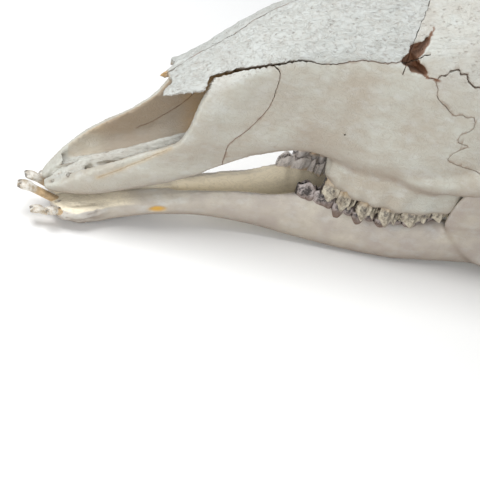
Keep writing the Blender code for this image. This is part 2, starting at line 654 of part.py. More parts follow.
FRONT_TEETH = (   # side, root, neck, tip, half width of crown, half thickness, root radius
    (-1, (22, -7, -27), (-6, -6, -11.5), (-21.5, -4, -6.5), 6.2, 3.6, 3.6),
    (-1, (20, -18, -24), (1, -21, -22.5), (-12.5, -21, -20.5), 5.2, 2.8, 3.0),
    (-1, (24, -23, -22), (9, -26, -19.5), (-1, -29, -17.5), 5.0, 2.8, 2.8),
    (1, (22, 8, -25), (0, 9, -12), (-14.5, 9, -5.5), 6.0, 3.2, 3.4),
    (1, (24, 23, -22), (10, 27, -20), (0, 31, -18), 4.8, 2.6, 2.8),
)


# Materials.
BONE_COLOURS = {
    "cranium": (0.62, 0.60, 0.56), "premaxilla": (0.66, 0.64, 0.59), "nasal": (0.60, 0.60, 0.58),
    "ossicone": (0.52, 0.47, 0.40), "mandible": (0.58, 0.52, 0.43)}


def paint(obj, name):
    rgb = BONE_COLOURS[name.split("_")[0]]
    mat = bpy.data.materials.new(name + "_bone")
    mat.use_nodes = True
    shader = mat.node_tree.nodes["Principled BSDF"]
    shader.inputs["Base Color"].default_value = (*rgb, 1)
    shader.inputs["Roughness"].default_value = 0.62
    shader.inputs["Metallic"].default_value = 0.0
    obj.data.materials.clear()
    obj.data.materials.append(mat)


# Assembly.
def build_upper():
    """Whole upper skull with its openings and ossicones, still in one piece."""
    whole = melt(gather("upper", upper_skull_pieces()), VOXEL, 10)
    cuts = [nasal_hollow(), aperture(LEFT_MARGIN, -1), aperture(RIGHT_MARGIN, 1), nasal_front()]
    cuts += palate_slots() + orbit_cut() + other_cuts()
    for cut in cuts:
        join_or_cut(whole, [cut], 'DIFFERENCE', 'MANIFOLD')     # the exact solver loses this body
    whole = melt(whole, VOXEL, 2)
    thin_out(whole, CRANIUM_FACES)
    join_or_cut(whole, pair(ossicone()), 'UNION')
    return whole


def build_jaw():
    """Left half of the lower jaw with its cheek and front teeth, before the right is mirrored."""
    jaw = melt(gather("jaw", lower_jaw()), VOXEL * 0.8, 12)
    join_or_cut(jaw, [slab("midline", [(-60, -GAP / 2), (200, -GAP / 2), (200, 60), (-60, 60)],
                           -90, 60, 'Z')], 'DIFFERENCE')
    thin_out(jaw, JAW_FACES)
    return jaw


def faces_of(obj):
    return sum(len(p.vertices) - 2 for p in obj.data.polygons)


def centre_of(obj):
    pts = [v.co for v in obj.data.vertices]
    return sum(pts, Vector()) / len(pts)


def free_bones(whole):
    """Part the upper skull along its seams and name what comes free."""
    for cut in seams():
        join_or_cut(whole, [cut], 'DIFFERENCE')
    bones = {}
    for part in shells(whole):
        c = centre_of(part)
        side = "left" if c.y < 0 else "right"
        if not bones:
            name = "cranium"
        elif c.x > 400:
            name = "ossicone_" + side
        elif c.x < 130 and c.z < 90:
            name = "premaxilla_" + side
        else:
            name = "nasal_" + side
        if name in bones:
            drop([part])
        else:
            bones[name] = part
    drop([whole])
    return bones


def clear_of(obj, neighbour):
    """Cut obj clear of a neighbour by the gap."""
    tool = neighbour.copy()
    tool.data = neighbour.data.copy()
    bpy.context.scene.collection.objects.link(tool)
    puff = tool.modifiers.new("Puff", 'DISPLACE')
    puff.strength = GAP
    puff.mid_level = 0.0
    settle(tool)
    join_or_cut(obj, [tool], 'DIFFERENCE')
    keep_largest(obj)


def keep_largest(obj):
    parts = shells(obj)
    obj.data = parts[0].data.copy()
    drop(parts)


def main():
    for obj in list(bpy.data.objects):
        bpy.data.objects.remove(obj)
    bones = free_bones(build_upper())
    left = build_jaw()
    right = other_side(left)
    join_or_cut(left, cheek_teeth(LOWER_EDGES, LOWER_WIDTHS, LOWER_CROWNS,
                                  lambda x, w: lower_gum_y(x), lower_gum_z, 1)
                + [front_tooth(*t[1:]) for t in FRONT_TEETH if t[0] < 0], 'UNION')
    join_or_cut(right, [flip_over(t) for t in cheek_teeth(
        LOWER_EDGES, LOWER_WIDTHS, LOWER_CROWNS, lambda x, w: lower_gum_y(x), lower_gum_z, 1)]
        + [front_tooth(*t[1:]) for t in FRONT_TEETH if t[0] > 0], 'UNION')
    bones["mandible_left"], bones["mandible_right"] = left, right
    upper = cheek_teeth(UPPER_EDGES, UPPER_WIDTHS, UPPER_CROWNS,
                        lambda x, w: gum_y(x) - w / 2 - 2.0, gum_z, -1)
    upper += [other_side(t) for t in upper]
    join_or_cut(bones["cranium"], upper, 'UNION')
    for name in ("mandible_left", "mandible_right"):
        keep_largest(bones[name])
        clear_of(bones["cranium"], bones[name])
    return stand_up(bones)


def stand_up(bones):
    """Stand it on chin and jaw angles, centred over the origin, in metres."""
    (fx, fz), (rx, rz) = JAW_REST_FRONT, JAW_REST_REAR
    tip = Matrix.Rotation(math.atan2(rz - fz, rx - fx), 4, 'Y')
    for obj in bones.values():
        obj.data.transform(tip)
    floor = (tip @ Vector((fx, 0, fz))).z + REST_SHAVE
    for name in ("mandible_left", "mandible_right"):
        join_or_cut(bones[name], [slab("floor", [(-100, -200), (800, -200), (800, 200), (-100, 200)],
                                       floor - 60, floor, 'Z')], 'DIFFERENCE')
    pts = [v.co for o in bones.values() for v in o.data.vertices]
    low = Vector(min(p[k] for p in pts) for k in range(3))
    high = Vector(max(p[k] for p in pts) for k in range(3))
    shift = Matrix.Translation((-(low.x + high.x) / 2, -(low.y + high.y) / 2, -floor))
    for name, obj in bones.items():
        obj.name = name
        obj.data.transform(Matrix.Scale(MM, 4) @ shift)
        paint(obj, name)
    return Matrix.Scale(MM, 4) @ shift @ tip


if __name__ == "__main__":
    main()
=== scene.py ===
"""Dresses the skull of a young giraffe: fine bone surfaces, open seams, teeth and their finishes."""
import math

import bmesh
import bpy
import numpy as np
from bpy.props import FloatProperty, FloatVectorProperty, IntProperty, PointerProperty
from mathutils import Matrix, Vector
from mathutils.bvhtree import BVHTree
from mathutils.kdtree import KDTree


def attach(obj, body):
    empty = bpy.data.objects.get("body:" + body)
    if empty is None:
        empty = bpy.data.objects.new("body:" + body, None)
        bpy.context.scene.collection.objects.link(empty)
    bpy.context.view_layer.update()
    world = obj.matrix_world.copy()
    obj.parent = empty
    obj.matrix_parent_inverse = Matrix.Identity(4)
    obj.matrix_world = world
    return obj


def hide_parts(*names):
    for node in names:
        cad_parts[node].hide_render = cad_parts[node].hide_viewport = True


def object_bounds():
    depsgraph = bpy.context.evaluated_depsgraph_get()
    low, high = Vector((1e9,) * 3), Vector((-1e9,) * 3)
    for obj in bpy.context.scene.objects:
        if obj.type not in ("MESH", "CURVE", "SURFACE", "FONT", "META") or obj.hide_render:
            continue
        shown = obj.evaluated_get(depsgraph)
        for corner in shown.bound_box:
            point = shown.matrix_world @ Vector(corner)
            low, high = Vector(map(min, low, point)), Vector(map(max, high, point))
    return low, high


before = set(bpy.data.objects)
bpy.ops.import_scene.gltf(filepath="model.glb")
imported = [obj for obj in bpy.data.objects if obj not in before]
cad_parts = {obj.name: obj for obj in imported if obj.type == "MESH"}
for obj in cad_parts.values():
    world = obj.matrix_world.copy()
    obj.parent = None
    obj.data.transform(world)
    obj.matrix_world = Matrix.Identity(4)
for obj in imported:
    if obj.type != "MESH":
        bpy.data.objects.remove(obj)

bl_info = {
    "name": "Giraffe skull",
    "version": (1, 0, 0),
    "blender": (4, 5, 0),
    "location": "View3D > Sidebar > Skull",
    "description": "Bones, seams, teeth and finishes of a young giraffe's skull",
    "category": "Add Mesh",
}

CAD_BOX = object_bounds()

# The skull is laid out in its own frame in millimetres: X runs back from the tip of the
# premaxillae, the left side is -Y and Z is up. It stands on the chin and the jaw angles.
MM = 0.001
JAW_REST_FRONT = (30.0, -37.0)  # x, z of the chin's lowest point
JAW_REST_REAR = (492.0, -70.0)  # x, z of the lowest point of the jaw angle
REST_SHAVE = 0.9                # depth of the flats it stands on
SNOUT_REACH = 21.69             # how far the front teeth reach before the premaxillae

ORBIT_CENTRE = (434.0, 101.0, 143.0)
ORBIT_RADIUS = 32.5
BROW_HALF_WIDTH = 115.0
NUCHAL_X = 598.0
NASAL_TIP_X = 87.0
NASAL_END_X = 300.0
OSSICONE_FOOT = (492.0, 47.0, 212.0)
JAW_CONDYLE = (534.0, 84.0, 95.0)

# Cheek teeth: front edge of the second premolar, then the back edge of each tooth
UPPER_EDGES = (244.0, 259.0, 278.0, 298.0, 321.0, 353.0, 379.0)
UPPER_WIDTHS = (12.0, 18.0, 21.0, 24.0, 26.0, 23.0)
UPPER_CROWNS = (12.5, 13.0, 13.5, 13.5, 12.5, 9.0)
LOWER_EDGES = (223.0, 239.0, 259.0, 280.0, 304.0, 333.0, 372.0)
LOWER_WIDTHS = (8.5, 11.0, 13.5, 15.0, 16.0, 15.0)
LOWER_CROWNS = (13.0, 13.5, 14.5, 15.0, 14.0, 11.5)
UPPER_LOBES = ((1.0,),) + ((0.62, 0.38),) * 5      # shares of a tooth's length that its lobes take
LOWER_LOBES = ((1.0,),) * 2 + ((0.52, 0.48),) * 3 + ((0.4, 0.36, 0.24),)
LOBE_OVERLAP = 1.28             # length of a lobe over its share, so that neighbours grow together
LESSER_LOBE = 0.86              # width and height of a lesser lobe over those of a main one
LOBE_VARIATION = 0.045          # how much sizes differ from lobe to lobe

SHARP_EDGE = math.radians(42)   # steeper edges are shaded sharp


def srgb(code):
    """Linear colour from a hex sRGB code."""
    parts = [int(code[i:i + 2], 16) / 255 for i in (1, 3, 5)]
    return tuple(c / 12.92 if c <= 0.04045 else ((c + 0.055) / 1.055) ** 2.4 for c in parts)


def colour(name, description, code):
    return FloatVectorProperty(name=name, description=description, subtype='COLOR', size=3,
                               min=0, max=1, default=srgb(code))


def length(name, description, value):
    return FloatProperty(name=name, description=description + ", in millimetres", default=value, min=0)


class SkullSizes(bpy.types.PropertyGroup):
    grain: length("Grain", "Mesh grain of the upper skull", 1.55)
    jaw_grain: length("Jaw grain", "Mesh grain of the lower jaw", 1.35)
    upper_faces: IntProperty(name="Upper faces", description="Triangles kept on the upper skull",
                             default=228000)
    ossicone_length: length("Ossicone length", "Length of each ossicone", 128)
    ossicone_lean: FloatProperty(name="Ossicone lean", description="Lean back from upright", subtype='ANGLE',
                                 default=math.radians(47))
    ossicone_splay: FloatProperty(name="Ossicone splay", description="Lean outwards", subtype='ANGLE',
                                  default=math.radians(9))
    seam_gap: length("Seam gap", "Gap between bones that meet at a closed seam", 0.32)
    seam_throw: length("Seam throw", "How far a seam zigzags to each side", 0.9)
    rough_relief: length("Rough relief", "Relief of the rough bone on the nose", 0.75)
    bite_slope: FloatProperty(name="Bite slope", description="Rise of the worn faces across a tooth",
                              default=0.28)
    seed: IntProperty(name="Seed", description="Seed for seams, relief and teeth", default=7)


class SkullColours(bpy.types.PropertyGroup):
    pale: colour("Pale bone", "Bleached bone on the face", "#BABAB0")
    warm: colour("Warm bone", "Bone that kept some of its grease", "#A99F90")
    cool: colour("Cool bone", "Weathered grey bone on the nose", "#B2B4AE")
    chalk: colour("Chalk", "Bleached high spots", "#CCD0CF")
    # Cream: the lower jaw's inner side, partly its own colour and partly painted light, and painted light on
    # the chin's top
    cream: colour("Cream bone", "Inner side of the lower jaw and the chin, partly painted light", "#F4E9CF")
    jaw: colour("Jaw bone", "Outer side of the lower jaw", "#C2BBAD")
    lilac: colour("Lilac bone", "Grey lilac patches on the lower jaw", "#A69C96")
    # Underside: painted shade on faces that look down and on the walls of the airway
    under: colour("Underside", "Painted shade on faces that look down and on the airway walls", "#857668")
    # Tan: thin bone inside the nose, also used as painted shade deeper in the airway
    tan: colour("Tan bone", "Thin bone inside the nose, deeper in also painted shade", "#BC9A6C")
    ochre: colour("Ochre", "Grease in furrows and filled openings", "#C99C45")
    # Brown: dried tissue in seams, and painted shade in hollows
    brown: colour("Brown", "Dried tissue in seams, painted shade in hollows", "#6E4220")
    dark: colour("Dark", "Bottom of the open seams", "#35200F")
    horn: colour("Ossicone bone", "Rough bone of the ossicones", "#B3A793")
    enamel: colour("Enamel", "Enamel of the upper cheek teeth", "#B5AC98")
    stain: colour("Stain", "Dark stain between the lobes", "#241915")
    # Gum line: cement of the right teeth, whose enamel is a paler copy painted as light
    gum: colour("Gum line", "Cement at the gum line of the right teeth", "#CFA564")


def sizes():
    return bpy.context.scene.skull_sizes


def colours():
    return bpy.context.scene.skull_colours


# Curves, rings and solids
def track(*stops):
    """Smooth monotone curve through (place, value) stops, level beyond both ends."""
    xs = [s[0] for s in stops]
    ys = [s[1] for s in stops]
    d = [(ys[i + 1] - ys[i]) / (xs[i + 1] - xs[i]) for i in range(len(xs) - 1)]
    m = [d[0]] + [0.0 if a * b <= 0 else 2 * a * b / (a + b) for a, b in zip(d, d[1:])] + [d[-1]]

    def value(x):
        if x <= xs[0]:
            return ys[0]
        if x >= xs[-1]:
            return ys[-1]
        i = max(k for k in range(len(xs) - 1) if xs[k] <= x)
        h = xs[i + 1] - xs[i]
        t = (x - xs[i]) / h
        return ((1 + 2 * t) * (1 - t) ** 2 * ys[i] + t * (1 - t) ** 2 * h * m[i]
                + t * t * (3 - 2 * t) * ys[i + 1] - t * t * (1 - t) * h * m[i + 1])
    return value


def along_track(curve, values, low=-60.0, high=660.0, spacing=2.0):
    """A track read at many places at once."""
    places = np.arange(low, high, spacing)
    return np.interp(values, places, [curve(x) for x in places])


def steps(a, b, spacing):
    """Even places from a to b, about spacing apart."""
    n = max(2, round(abs(b - a) / spacing))
    return [a + (b - a) * i / n for i in range(n + 1)]


def bend(points, per_span=4, closed=False):
    """Catmull-Rom curve through points, with per_span samples to a span."""
    pts = [Vector(p) for p in points]
    n = len(pts)
    out = []
    for i in range(n if closed else n - 1):
        if closed:
            p0, p1, p2, p3 = pts[i - 1], pts[i], pts[(i + 1) % n], pts[(i + 2) % n]
        else:
            p0, p1, p2, p3 = pts[max(i - 1, 0)], pts[i], pts[i + 1], pts[min(i + 2, n - 1)]
        for k in range(per_span):
            t = k / per_span
            out.append(0.5 * (2 * p1 + (p2 - p0) * t + (2 * p0 - 5 * p1 + 4 * p2 - p3) * t * t
                              + (3 * p1 - p0 - 3 * p2 + p3) * t ** 3))
    if not closed:
        out.append(pts[-1])
    return out


def even(points, spacing):
    """Points at even spacing along a broken line."""
    pts = [Vector(p) for p in points]
    run = [0.0]
    for a, b in zip(pts, pts[1:]):
        run.append(run[-1] + (b - a).length)
    out = []
    i = 0
    for s in steps(0, run[-1], spacing):
        while i < len(pts) - 2 and run[i + 1] < s:
            i += 1
        t = (s - run[i]) / max(run[i + 1] - run[i], 1e-9)
        out.append(pts[i].lerp(pts[i + 1], min(t, 1.0)))
    return out


def both_sides(half, x, per_span=6):
    """Ring at x from a half outline of (y, z) points, top of the midline to its foot."""
    ring = [(y, z) for y, z in half] + [(-y, z) for y, z in reversed(half[1:-1])]
    return [Vector((x, p[0], p[1])) for p in bend([(y, z, 0) for y, z in ring], per_span, True)]


def oval(centre, along, wide, tall, sides=14, squareness=2.0, up=(0, 0, 1)):
    """Ring round a curve point: half width, half height, superellipse exponent."""
    along = Vector(along).normalized()
    side = Vector(up).cross(along).normalized()
    top = along.cross(side)
    ring = []
    for k in range(sides):
        a = 2 * math.pi * k / sides
        c, s = math.cos(a), math.sin(a)
        c = math.copysign(abs(c) ** (2 / squareness), c)
        s = math.copysign(abs(s) ** (2 / squareness), s)
        ring.append(Vector(centre) + side * (wide * c) + top * (tall * s))
    return ring


def solid(name, bm):
    """Object of a finished bmesh, its faces turned outwards."""
    bmesh.ops.recalc_face_normals(bm, faces=bm.faces)
    mesh = bpy.data.meshes.new(name)
    bm.to_mesh(mesh)
    bm.free()
    obj = bpy.data.objects.new(name, mesh)
    bpy.context.scene.collection.objects.link(obj)
    return obj


def loft(name, rings):
    """Closed skin over rings of equal length, with a fan on each end."""
    bm = bmesh.new()
    rows = [[bm.verts.new(p) for p in ring] for ring in rings]
    n = len(rows[0])
    for a, b in zip(rows, rows[1:]):
        for k in range(n):
            bm.faces.new((a[k], a[(k + 1) % n], b[(k + 1) % n], b[k]))
    for row in (rows[0], rows[-1]):
        hub = bm.verts.new(sum((v.co for v in row), Vector()) / n)
        for k in range(n):
            bm.faces.new((row[k], row[(k + 1) % n], hub))
    return solid(name, bm)


def rope(name, points, wides, talls, sides=18, squareness=2.0, per_span=6, up=(0, 0, 1)):
    """Tube through points; wides and talls are half sizes at each of them."""
    path = bend(points, per_span)
    girth = bend([(w, t, 0) for w, t in zip(wides, talls)], per_span)
    rings = []
    for i, p in enumerate(path):
        along = path[min(i + 1, len(path) - 1)] - path[max(i - 1, 0)]
        rings.append(oval(p, along, max(girth[i].x, 0.4), max(girth[i].y, 0.4), sides, squareness, up))
    return loft(name, rings)


def ball(name, centre, radii, turn=(0, 0, 0), detail=4):
    """Ellipsoid, turned about X, Y and then Z in degrees."""
    bm = bmesh.new()
    bmesh.ops.create_icosphere(bm, subdivisions=detail, radius=1.0)
    rot = Matrix.Rotation(math.radians(turn[2]), 4, 'Z') @ Matrix.Rotation(
        math.radians(turn[1]), 4, 'Y') @ Matrix.Rotation(math.radians(turn[0]), 4, 'X')
    bmesh.ops.transform(bm, matrix=Matrix.Translation(centre) @ rot @ Matrix.Diagonal((*radii, 1)),
                        verts=bm.verts)
    return solid(name, bm)


def disc(name, centre, normal, radius, thick, sides=48):
    """Thin round plate."""
    bm = bmesh.new()
    bmesh.ops.create_cone(bm, cap_ends=True, segments=sides, radius1=radius, radius2=radius, depth=thick)
    turn = Vector((0, 0, 1)).rotation_difference(Vector(normal).normalized()).to_matrix().to_4x4()
    bmesh.ops.transform(bm, matrix=Matrix.Translation(centre) @ turn, verts=bm.verts)
    return solid(name, bm)


def slab(name, outline, low, high, axis):
    """Prism over a closed outline of (u, v) points, from low to high along axis 'Y' or 'Z'."""
    place = (lambda u, v, w: (u, w, v)) if axis == 'Y' else (lambda u, v, w: (u, v, w))
    bm = bmesh.new()
    a = [bm.verts.new(place(u, v, low)) for u, v in outline]
    b = [bm.verts.new(place(u, v, high)) for u, v in outline]
    n = len(outline)
    bm.faces.new(a)
    bm.faces.new(b[::-1])
    for k in range(n):
        bm.faces.new((a[k], b[k], b[(k + 1) % n], a[(k + 1) % n]))
    bmesh.ops.triangulate(bm, faces=[f for f in bm.faces if len(f.verts) > 4])
    return solid(name, bm)


def flip_over(obj):
    """Turn a left piece into its mirror image, for the right side."""
    obj.data.transform(Matrix.Diagonal((1, -1, 1, 1)))
    obj.data.flip_normals()
    return obj


def other_side(obj):
    """Mirror copy of a left piece."""
    twin = bpy.data.objects.new(obj.name + "_right", obj.data.copy())
    bpy.context.scene.collection.objects.link(twin)
    return flip_over(twin)


def pair(obj):
    return [obj, other_side(obj)]


# Joining, cutting and surface relief
def drop(objs):
    for o in objs:
        bpy.data.objects.remove(o)


def settle(obj):
    """Replace an object's mesh by what its modifiers make of it."""
    graph = bpy.context.evaluated_depsgraph_get()
    graph.update()
    mesh = bpy.data.meshes.new_from_object(obj.evaluated_get(graph))
    obj.modifiers.clear()
    obj.data = mesh
    return obj


def gather(name, objs):
    """One object that holds the meshes of many, as separate shells."""
    bm = bmesh.new()
    for o in objs:
        bm.from_mesh(o.data)
    drop(objs)
    mesh = bpy.data.meshes.new(name)
    bm.to_mesh(mesh)
    bm.free()
    obj = bpy.data.objects.new(name, mesh)
    bpy.context.scene.collection.objects.link(obj)
    return obj


def melt(obj, voxel, rounds=3, factor=0.5):
    """Fuse overlapping shells into one skin and soften where they met."""
    grid = obj.modifiers.new("Melt", 'REMESH')
    grid.mode = 'VOXEL'
    grid.voxel_size = voxel
    soft = obj.modifiers.new("Soften", 'SMOOTH')
    soft.factor = factor
    soft.iterations = rounds
    return settle(obj)


def cut(obj, tools):
    """Cut a collection of closed bodies out of one; the fast solver suits its many faces."""
    group = bpy.data.collections.new("tools")
    bpy.context.scene.collection.children.link(group)
    for t in tools:
        for c in list(t.users_collection):
            c.objects.unlink(t)
        group.objects.link(t)
    mod = obj.modifiers.new("Cut", 'BOOLEAN')
    mod.operation = 'DIFFERENCE'
    mod.operand_type = 'COLLECTION'
    mod.collection = group
    mod.solver = 'MANIFOLD'
    settle(obj)
    drop(tools)
    bpy.data.collections.remove(group)


def cut_each(obj, tools):
    """Cut bodies that overlap each other out of one, in turn."""
    for tool in tools:
        cut(obj, [tool])


def thin_out(obj, faces):
    """Reduce an object to about that many triangles."""
    count = sum(len(p.vertices) - 2 for p in obj.data.polygons)
    mod = obj.modifiers.new("Thin out", 'DECIMATE')
    mod.ratio = min(1.0, faces / count)
    mod.use_collapse_triangulate = True
    return settle(obj)


def loose_parts(obj, fewest=200):
    """Separate an object into its closed surfaces; scraps with few corners are dropped."""
    bpy.ops.object.select_all(action='DESELECT')
    obj.select_set(True)
    bpy.context.view_layer.objects.active = obj
    bpy.ops.mesh.separate(type='LOOSE')
    parts = list(bpy.context.selected_objects)
    small = [o for o in parts if len(o.data.vertices) < fewest]
    kept = [o for o in parts if len(o.data.vertices) >= fewest]
    drop(small)
    return sorted(kept, key=lambda o: -len(o.data.vertices))


def read_points(mesh):
    co = np.empty(len(mesh.vertices) * 3)
    mesh.vertices.foreach_get("co", co)
    return co.reshape(-1, 3)


def read_normals(mesh):
    no = np.empty(len(mesh.vertices) * 3)
    mesh.vertex_normals.foreach_get("vector", no)
    return no.reshape(-1, 3)


def carve(obj, relief):
    """Move every corner along its normal by relief(points, normals), in millimetres."""
    mesh = obj.data
    co, no = read_points(mesh), read_normals(mesh)
    co += no * relief(co, no)[:, None]
    mesh.vertices.foreach_set("co", co.ravel())
    mesh.update()


def ripple(points, size, seed=0):
    """Smooth random relief from -1 to 1 with bumps about size mm across, or a size per axis."""
    q = points / np.asarray(size, float) + 31.7 * (seed + 1)
    cell = np.floor(q).astype(np.int64)
    f = q - cell
    f = f * f * (3 - 2 * f)
    total = np.zeros(len(points))
    for corner in range(8):
        step = np.array((corner & 1, corner >> 1 & 1, corner >> 2 & 1))
        c = cell + step
        h = (c[:, 0] * 73856093) ^ (c[:, 1] * 19349663) ^ (c[:, 2] * 83492791)
        h = (h ^ (h >> 13)) * 1274126177 & 0xffffffff
        value = (h ^ (h >> 16)) / 2.0 ** 31 - 1
        total += np.prod(np.where(step == 1, f, 1 - f), axis=1) * value
    return total


def ramp(values, start, end):
    """0 at start, 1 at end, smooth between."""
    t = np.clip((values - start) / (end - start), 0, 1)
    return t * t * (3 - 2 * t)


def store(mesh, name, values):
    """Keep one number per corner of the mesh for its material."""
    layer = mesh.attributes.get(name) or mesh.attributes.new(name, 'FLOAT', 'POINT')
    layer.data.foreach_set("value", np.asarray(values, dtype=np.float32))


def hollowness(mesh, rounds=10):
    """How far each corner lies below its softened surroundings, in millimetres."""
    co, no = read_points(mesh), read_normals(mesh)
    ends = np.empty(len(mesh.edges) * 2, dtype=np.int64)
    mesh.edges.foreach_get("vertices", ends)
    a, b = ends.reshape(-1, 2).T
    count = np.bincount(ends, minlength=len(co))[:, None]
    soft = co.copy()
    for _ in range(rounds):
        total = np.zeros_like(soft)
        for k in range(3):
            total[:, k] = (np.bincount(a, soft[b, k], len(co)) + np.bincount(b, soft[a, k], len(co)))
        soft = 0.4 * soft + 0.6 * total / np.maximum(count, 1)
    return ((soft - co) * no).sum(axis=1)


def nearness(points, centres, reach):
    """1 at any of the centres, falling to 0 beyond reach."""
    out = np.zeros(len(points))
    if not len(centres):
        return out
    tree = KDTree(len(centres))
    for i, p in enumerate(centres):
        tree.insert(p, i)
    tree.balance()
    spots = np.asarray([tuple(p) for p in centres])
    near = ((points > spots.min(axis=0) - 3 * reach) & (points < spots.max(axis=0) + 3 * reach)).all(axis=1)
    for i in np.flatnonzero(near):
        out[i] = math.exp(-(tree.find(points[i])[2] / reach) ** 2)
    return out


def touching(points, skins, reach):
    """1 where a point touches one of the other skins, falling to 0 beyond reach."""
    out = np.zeros(len(points))
    for skin, low, high in skins:
        near = ((points > low - 2 * reach) & (points < high + 2 * reach)).all(axis=1)
        for i in np.flatnonzero(near):
            gap = skin.find_nearest(Vector(points[i]), 2 * reach)[3]
            if gap is not None:
                out[i] = max(out[i], math.exp(-(gap / reach) ** 2))
    return out


def refine(obj):
    """Split every face so that finer relief can be carved."""
    mod = obj.modifiers.new("Refine", 'SUBSURF')
    mod.subdivision_type = 'SIMPLE'
    mod.levels = mod.render_levels = 1
    return settle(obj)


# Upper skull: outlines along its length
roof = track((-1, 6), (40, 57.5), (87, 98), (113, 118), (136, 135), (150, 147), (175, 164),
             (200, 177), (230, 190), (270, 203), (320, 215), (370, 224), (420, 229),
             (460, 229), (500, 223), (540, 208), (575, 188), (NUCHAL_X, 168), (606, 140))
shoulder_y = track((-1, 9), (40, 26), (87, 29), (115, 33), (163, 39), (200, 43), (240, 49),
                   (271, 55), (300, 62), (340, 72), (400, 92))
shoulder_z = track((-1, 3), (40, 46), (87, 90), (115, 100), (163, 130), (200, 141),
                   (240, 148), (271, 153), (300, 160), (340, 168), (400, 178))
wall_y = track((-1, 12), (9, 17), (24, 23), (39, 27.5), (69, 31.5), (96, 34), (118, 35),
               (150, 34.5), (186, 38), (230, 47), (271, 58), (300, 66), (345, 77), (400, 90))
wall_z = track((-1, -3), (39, 15), (69, 27), (100, 46), (118, 60), (150, 84), (186, 92),
               (230, 94), (300, 88), (345, 80), (400, 90))
foot_y = track((-1, 10), (10, 14), (36, 23), (67, 27), (122, 29), (171, 31), (216, 35),
               (245, 43), (280, 56), (320, 66), (370, 70), (400, 60))
foot_z = track((-1, -9), (10, -9), (36, -5), (67, 4), (97, 12), (122, 20.5), (140, 30.5),
               (171, 43), (216, 51), (245, 47), (280, 42), (330, 42), (400, 60))
keel_z = track((-1, -7), (36, 3), (67, 11), (97, 19), (122, 29), (140, 40), (171, 52),
               (216, 58), (245, 50), (280, 40), (330, 36), (400, 40))
brow_y = track((300, 56), (340, 72), (375, 92), (405, 107), (440, BROW_HALF_WIDTH), (466, 110),
               (488, 92), (510, 72), (545, 60), (580, 57), (NUCHAL_X, 50), (606, 34))
brow_z = track((300, 162), (340, 172), (375, 182), (410, 188), (440, 190), (470, 187),
               (500, 178), (545, 162), (580, 148), (606, 118))
temple_y = track((300, 60), (340, 74), (375, 88), (410, 96), (445, 100), (468, 92), (488, 72),
                 (515, 58), (560, 58), (585, 55), (606, 36))
temple_z = track((300, 120), (400, 120), (470, 118), (560, 112), (608, 104))
floor_y = track((300, 40), (380, 52), (440, 46), (500, 38), (560, 42), (608, 30))
floor_z = track((300, 84), (380, 78), (440, 76), (500, 72), (560, 68), (608, 70))
gum_y = track((240, 39), (250, 42), (278, 55), (298, 61), (321, 66), (353, 67), (386, 61))
gum_z = track((240, 28), (252, 18.5), (259, 14.5), (272, 11), (284, 8.5), (300, 7), (319, 4.5),
              (335, 5), (353, 6), (386, 6))
gum_wide = track((240, 11), (259, 20), (298, 26), (350, 30), (386, 20))


def face_ring(x):
    """Outline of the face across x, before the eyes."""
    top, sy, sz = roof(x), shoulder_y(x), shoulder_z(x)
    return both_sides([(0, top), (sy * 0.52, top - (top - sz) * 0.26), (sy, sz),
                       (wall_y(x), wall_z(x)), (foot_y(x), foot_z(x)),
                       (foot_y(x) * 0.55, keel_z(x) - 1), (0, keel_z(x))], x)


def vault_ring(x):
    """Outline of the forehead and the brain case across x."""
    top = roof(x)
    return both_sides([(0, top), (brow_y(x) * 0.55, top - (top - brow_z(x)) * 0.22),
                       (brow_y(x), brow_z(x)), (temple_y(x), temple_z(x)),
                       (floor_y(x), floor_z(x)), (0, floor_z(x) - 3)], x)


def gum_ring(x):
    """Bone that holds the left upper cheek teeth, seen end on."""
    outer, wide, low = -gum_y(x), gum_wide(x), gum_z(x) - 1.5     # the fused skin shrinks by this much
    back = max(0.0, (x - 366) / 22) ** 2            # rounds off behind the last molar
    low += 22 * back
    high = 72 - 0.1 * (x - 240)
    ring = ((outer + 3 * back, low + 6), (outer + 2 + 5 * back, low + 1.5), (outer + 6 + 4 * back, low),
            (outer + wide - 5, low), (outer + wide - 1, low + 4), (outer + wide + 3, low + 18),
            (outer + wide + 2, high), (outer + 18, high), (outer + 3, (low + high) / 2 + 6),
            (outer + 0.5, (low + high) / 2 - 6))
    return [Vector((x, y, z)) for y, z in ring]


def orbit_rim():
    """Raised ring round the left eye socket."""
    cx, cy, cz = ORBIT_CENTRE
    count, sides = 32, 12
    rim = []
    for k in range(count):
        a = 2 * math.pi * k / count
        rim.append(Vector((cx + 1 + (ORBIT_RADIUS + 5) * math.cos(a),
                           -cy - 5 * math.sin(a) - 4 * math.cos(a),
                           cz + (ORBIT_RADIUS + 5) * math.sin(a))))
    rings = [oval(p, rim[(i + 1) % count] - rim[i - 1], 6, 6.5, sides, 2, p - Vector((cx, -cy, cz)))
             for i, p in enumerate(rim)]
    bm = bmesh.new()
    rows = [[bm.verts.new(q) for q in ring] for ring in rings]
    for a, b in zip(rows[-1:] + rows[:-1], rows):
        for k in range(sides):
            bm.faces.new((a[k], a[(k + 1) % sides], b[(k + 1) % sides], b[k]))
    return solid("orbit_rim", bm)


def ossicone():
    """Left ossicone: a skin-covered horn core, widest at its foot, with a blunt knobbed end."""
    x, y, z = OSSICONE_FOOT
    reach, lean, splay = sizes().ossicone_length, sizes().ossicone_lean, sizes().ossicone_splay
    axis = Vector((math.sin(lean), -math.sin(splay), math.cos(lean))).normalized()
    foot = Vector((x, -y, z))
    stops = (-10, 6, 26, 54, 84, 108, 121, reach)
    girth = (27, 23.5, 18.5, 15, 13.2, 14.2, 12.5, 3)
    pts = [foot + axis * a + Vector((0, 0, 1)) * 0.0009 * a * a for a in stops]
    return rope("ossicone", pts, girth, [g * 1.08 for g in girth], sides=24, up=(0, 1, 0))


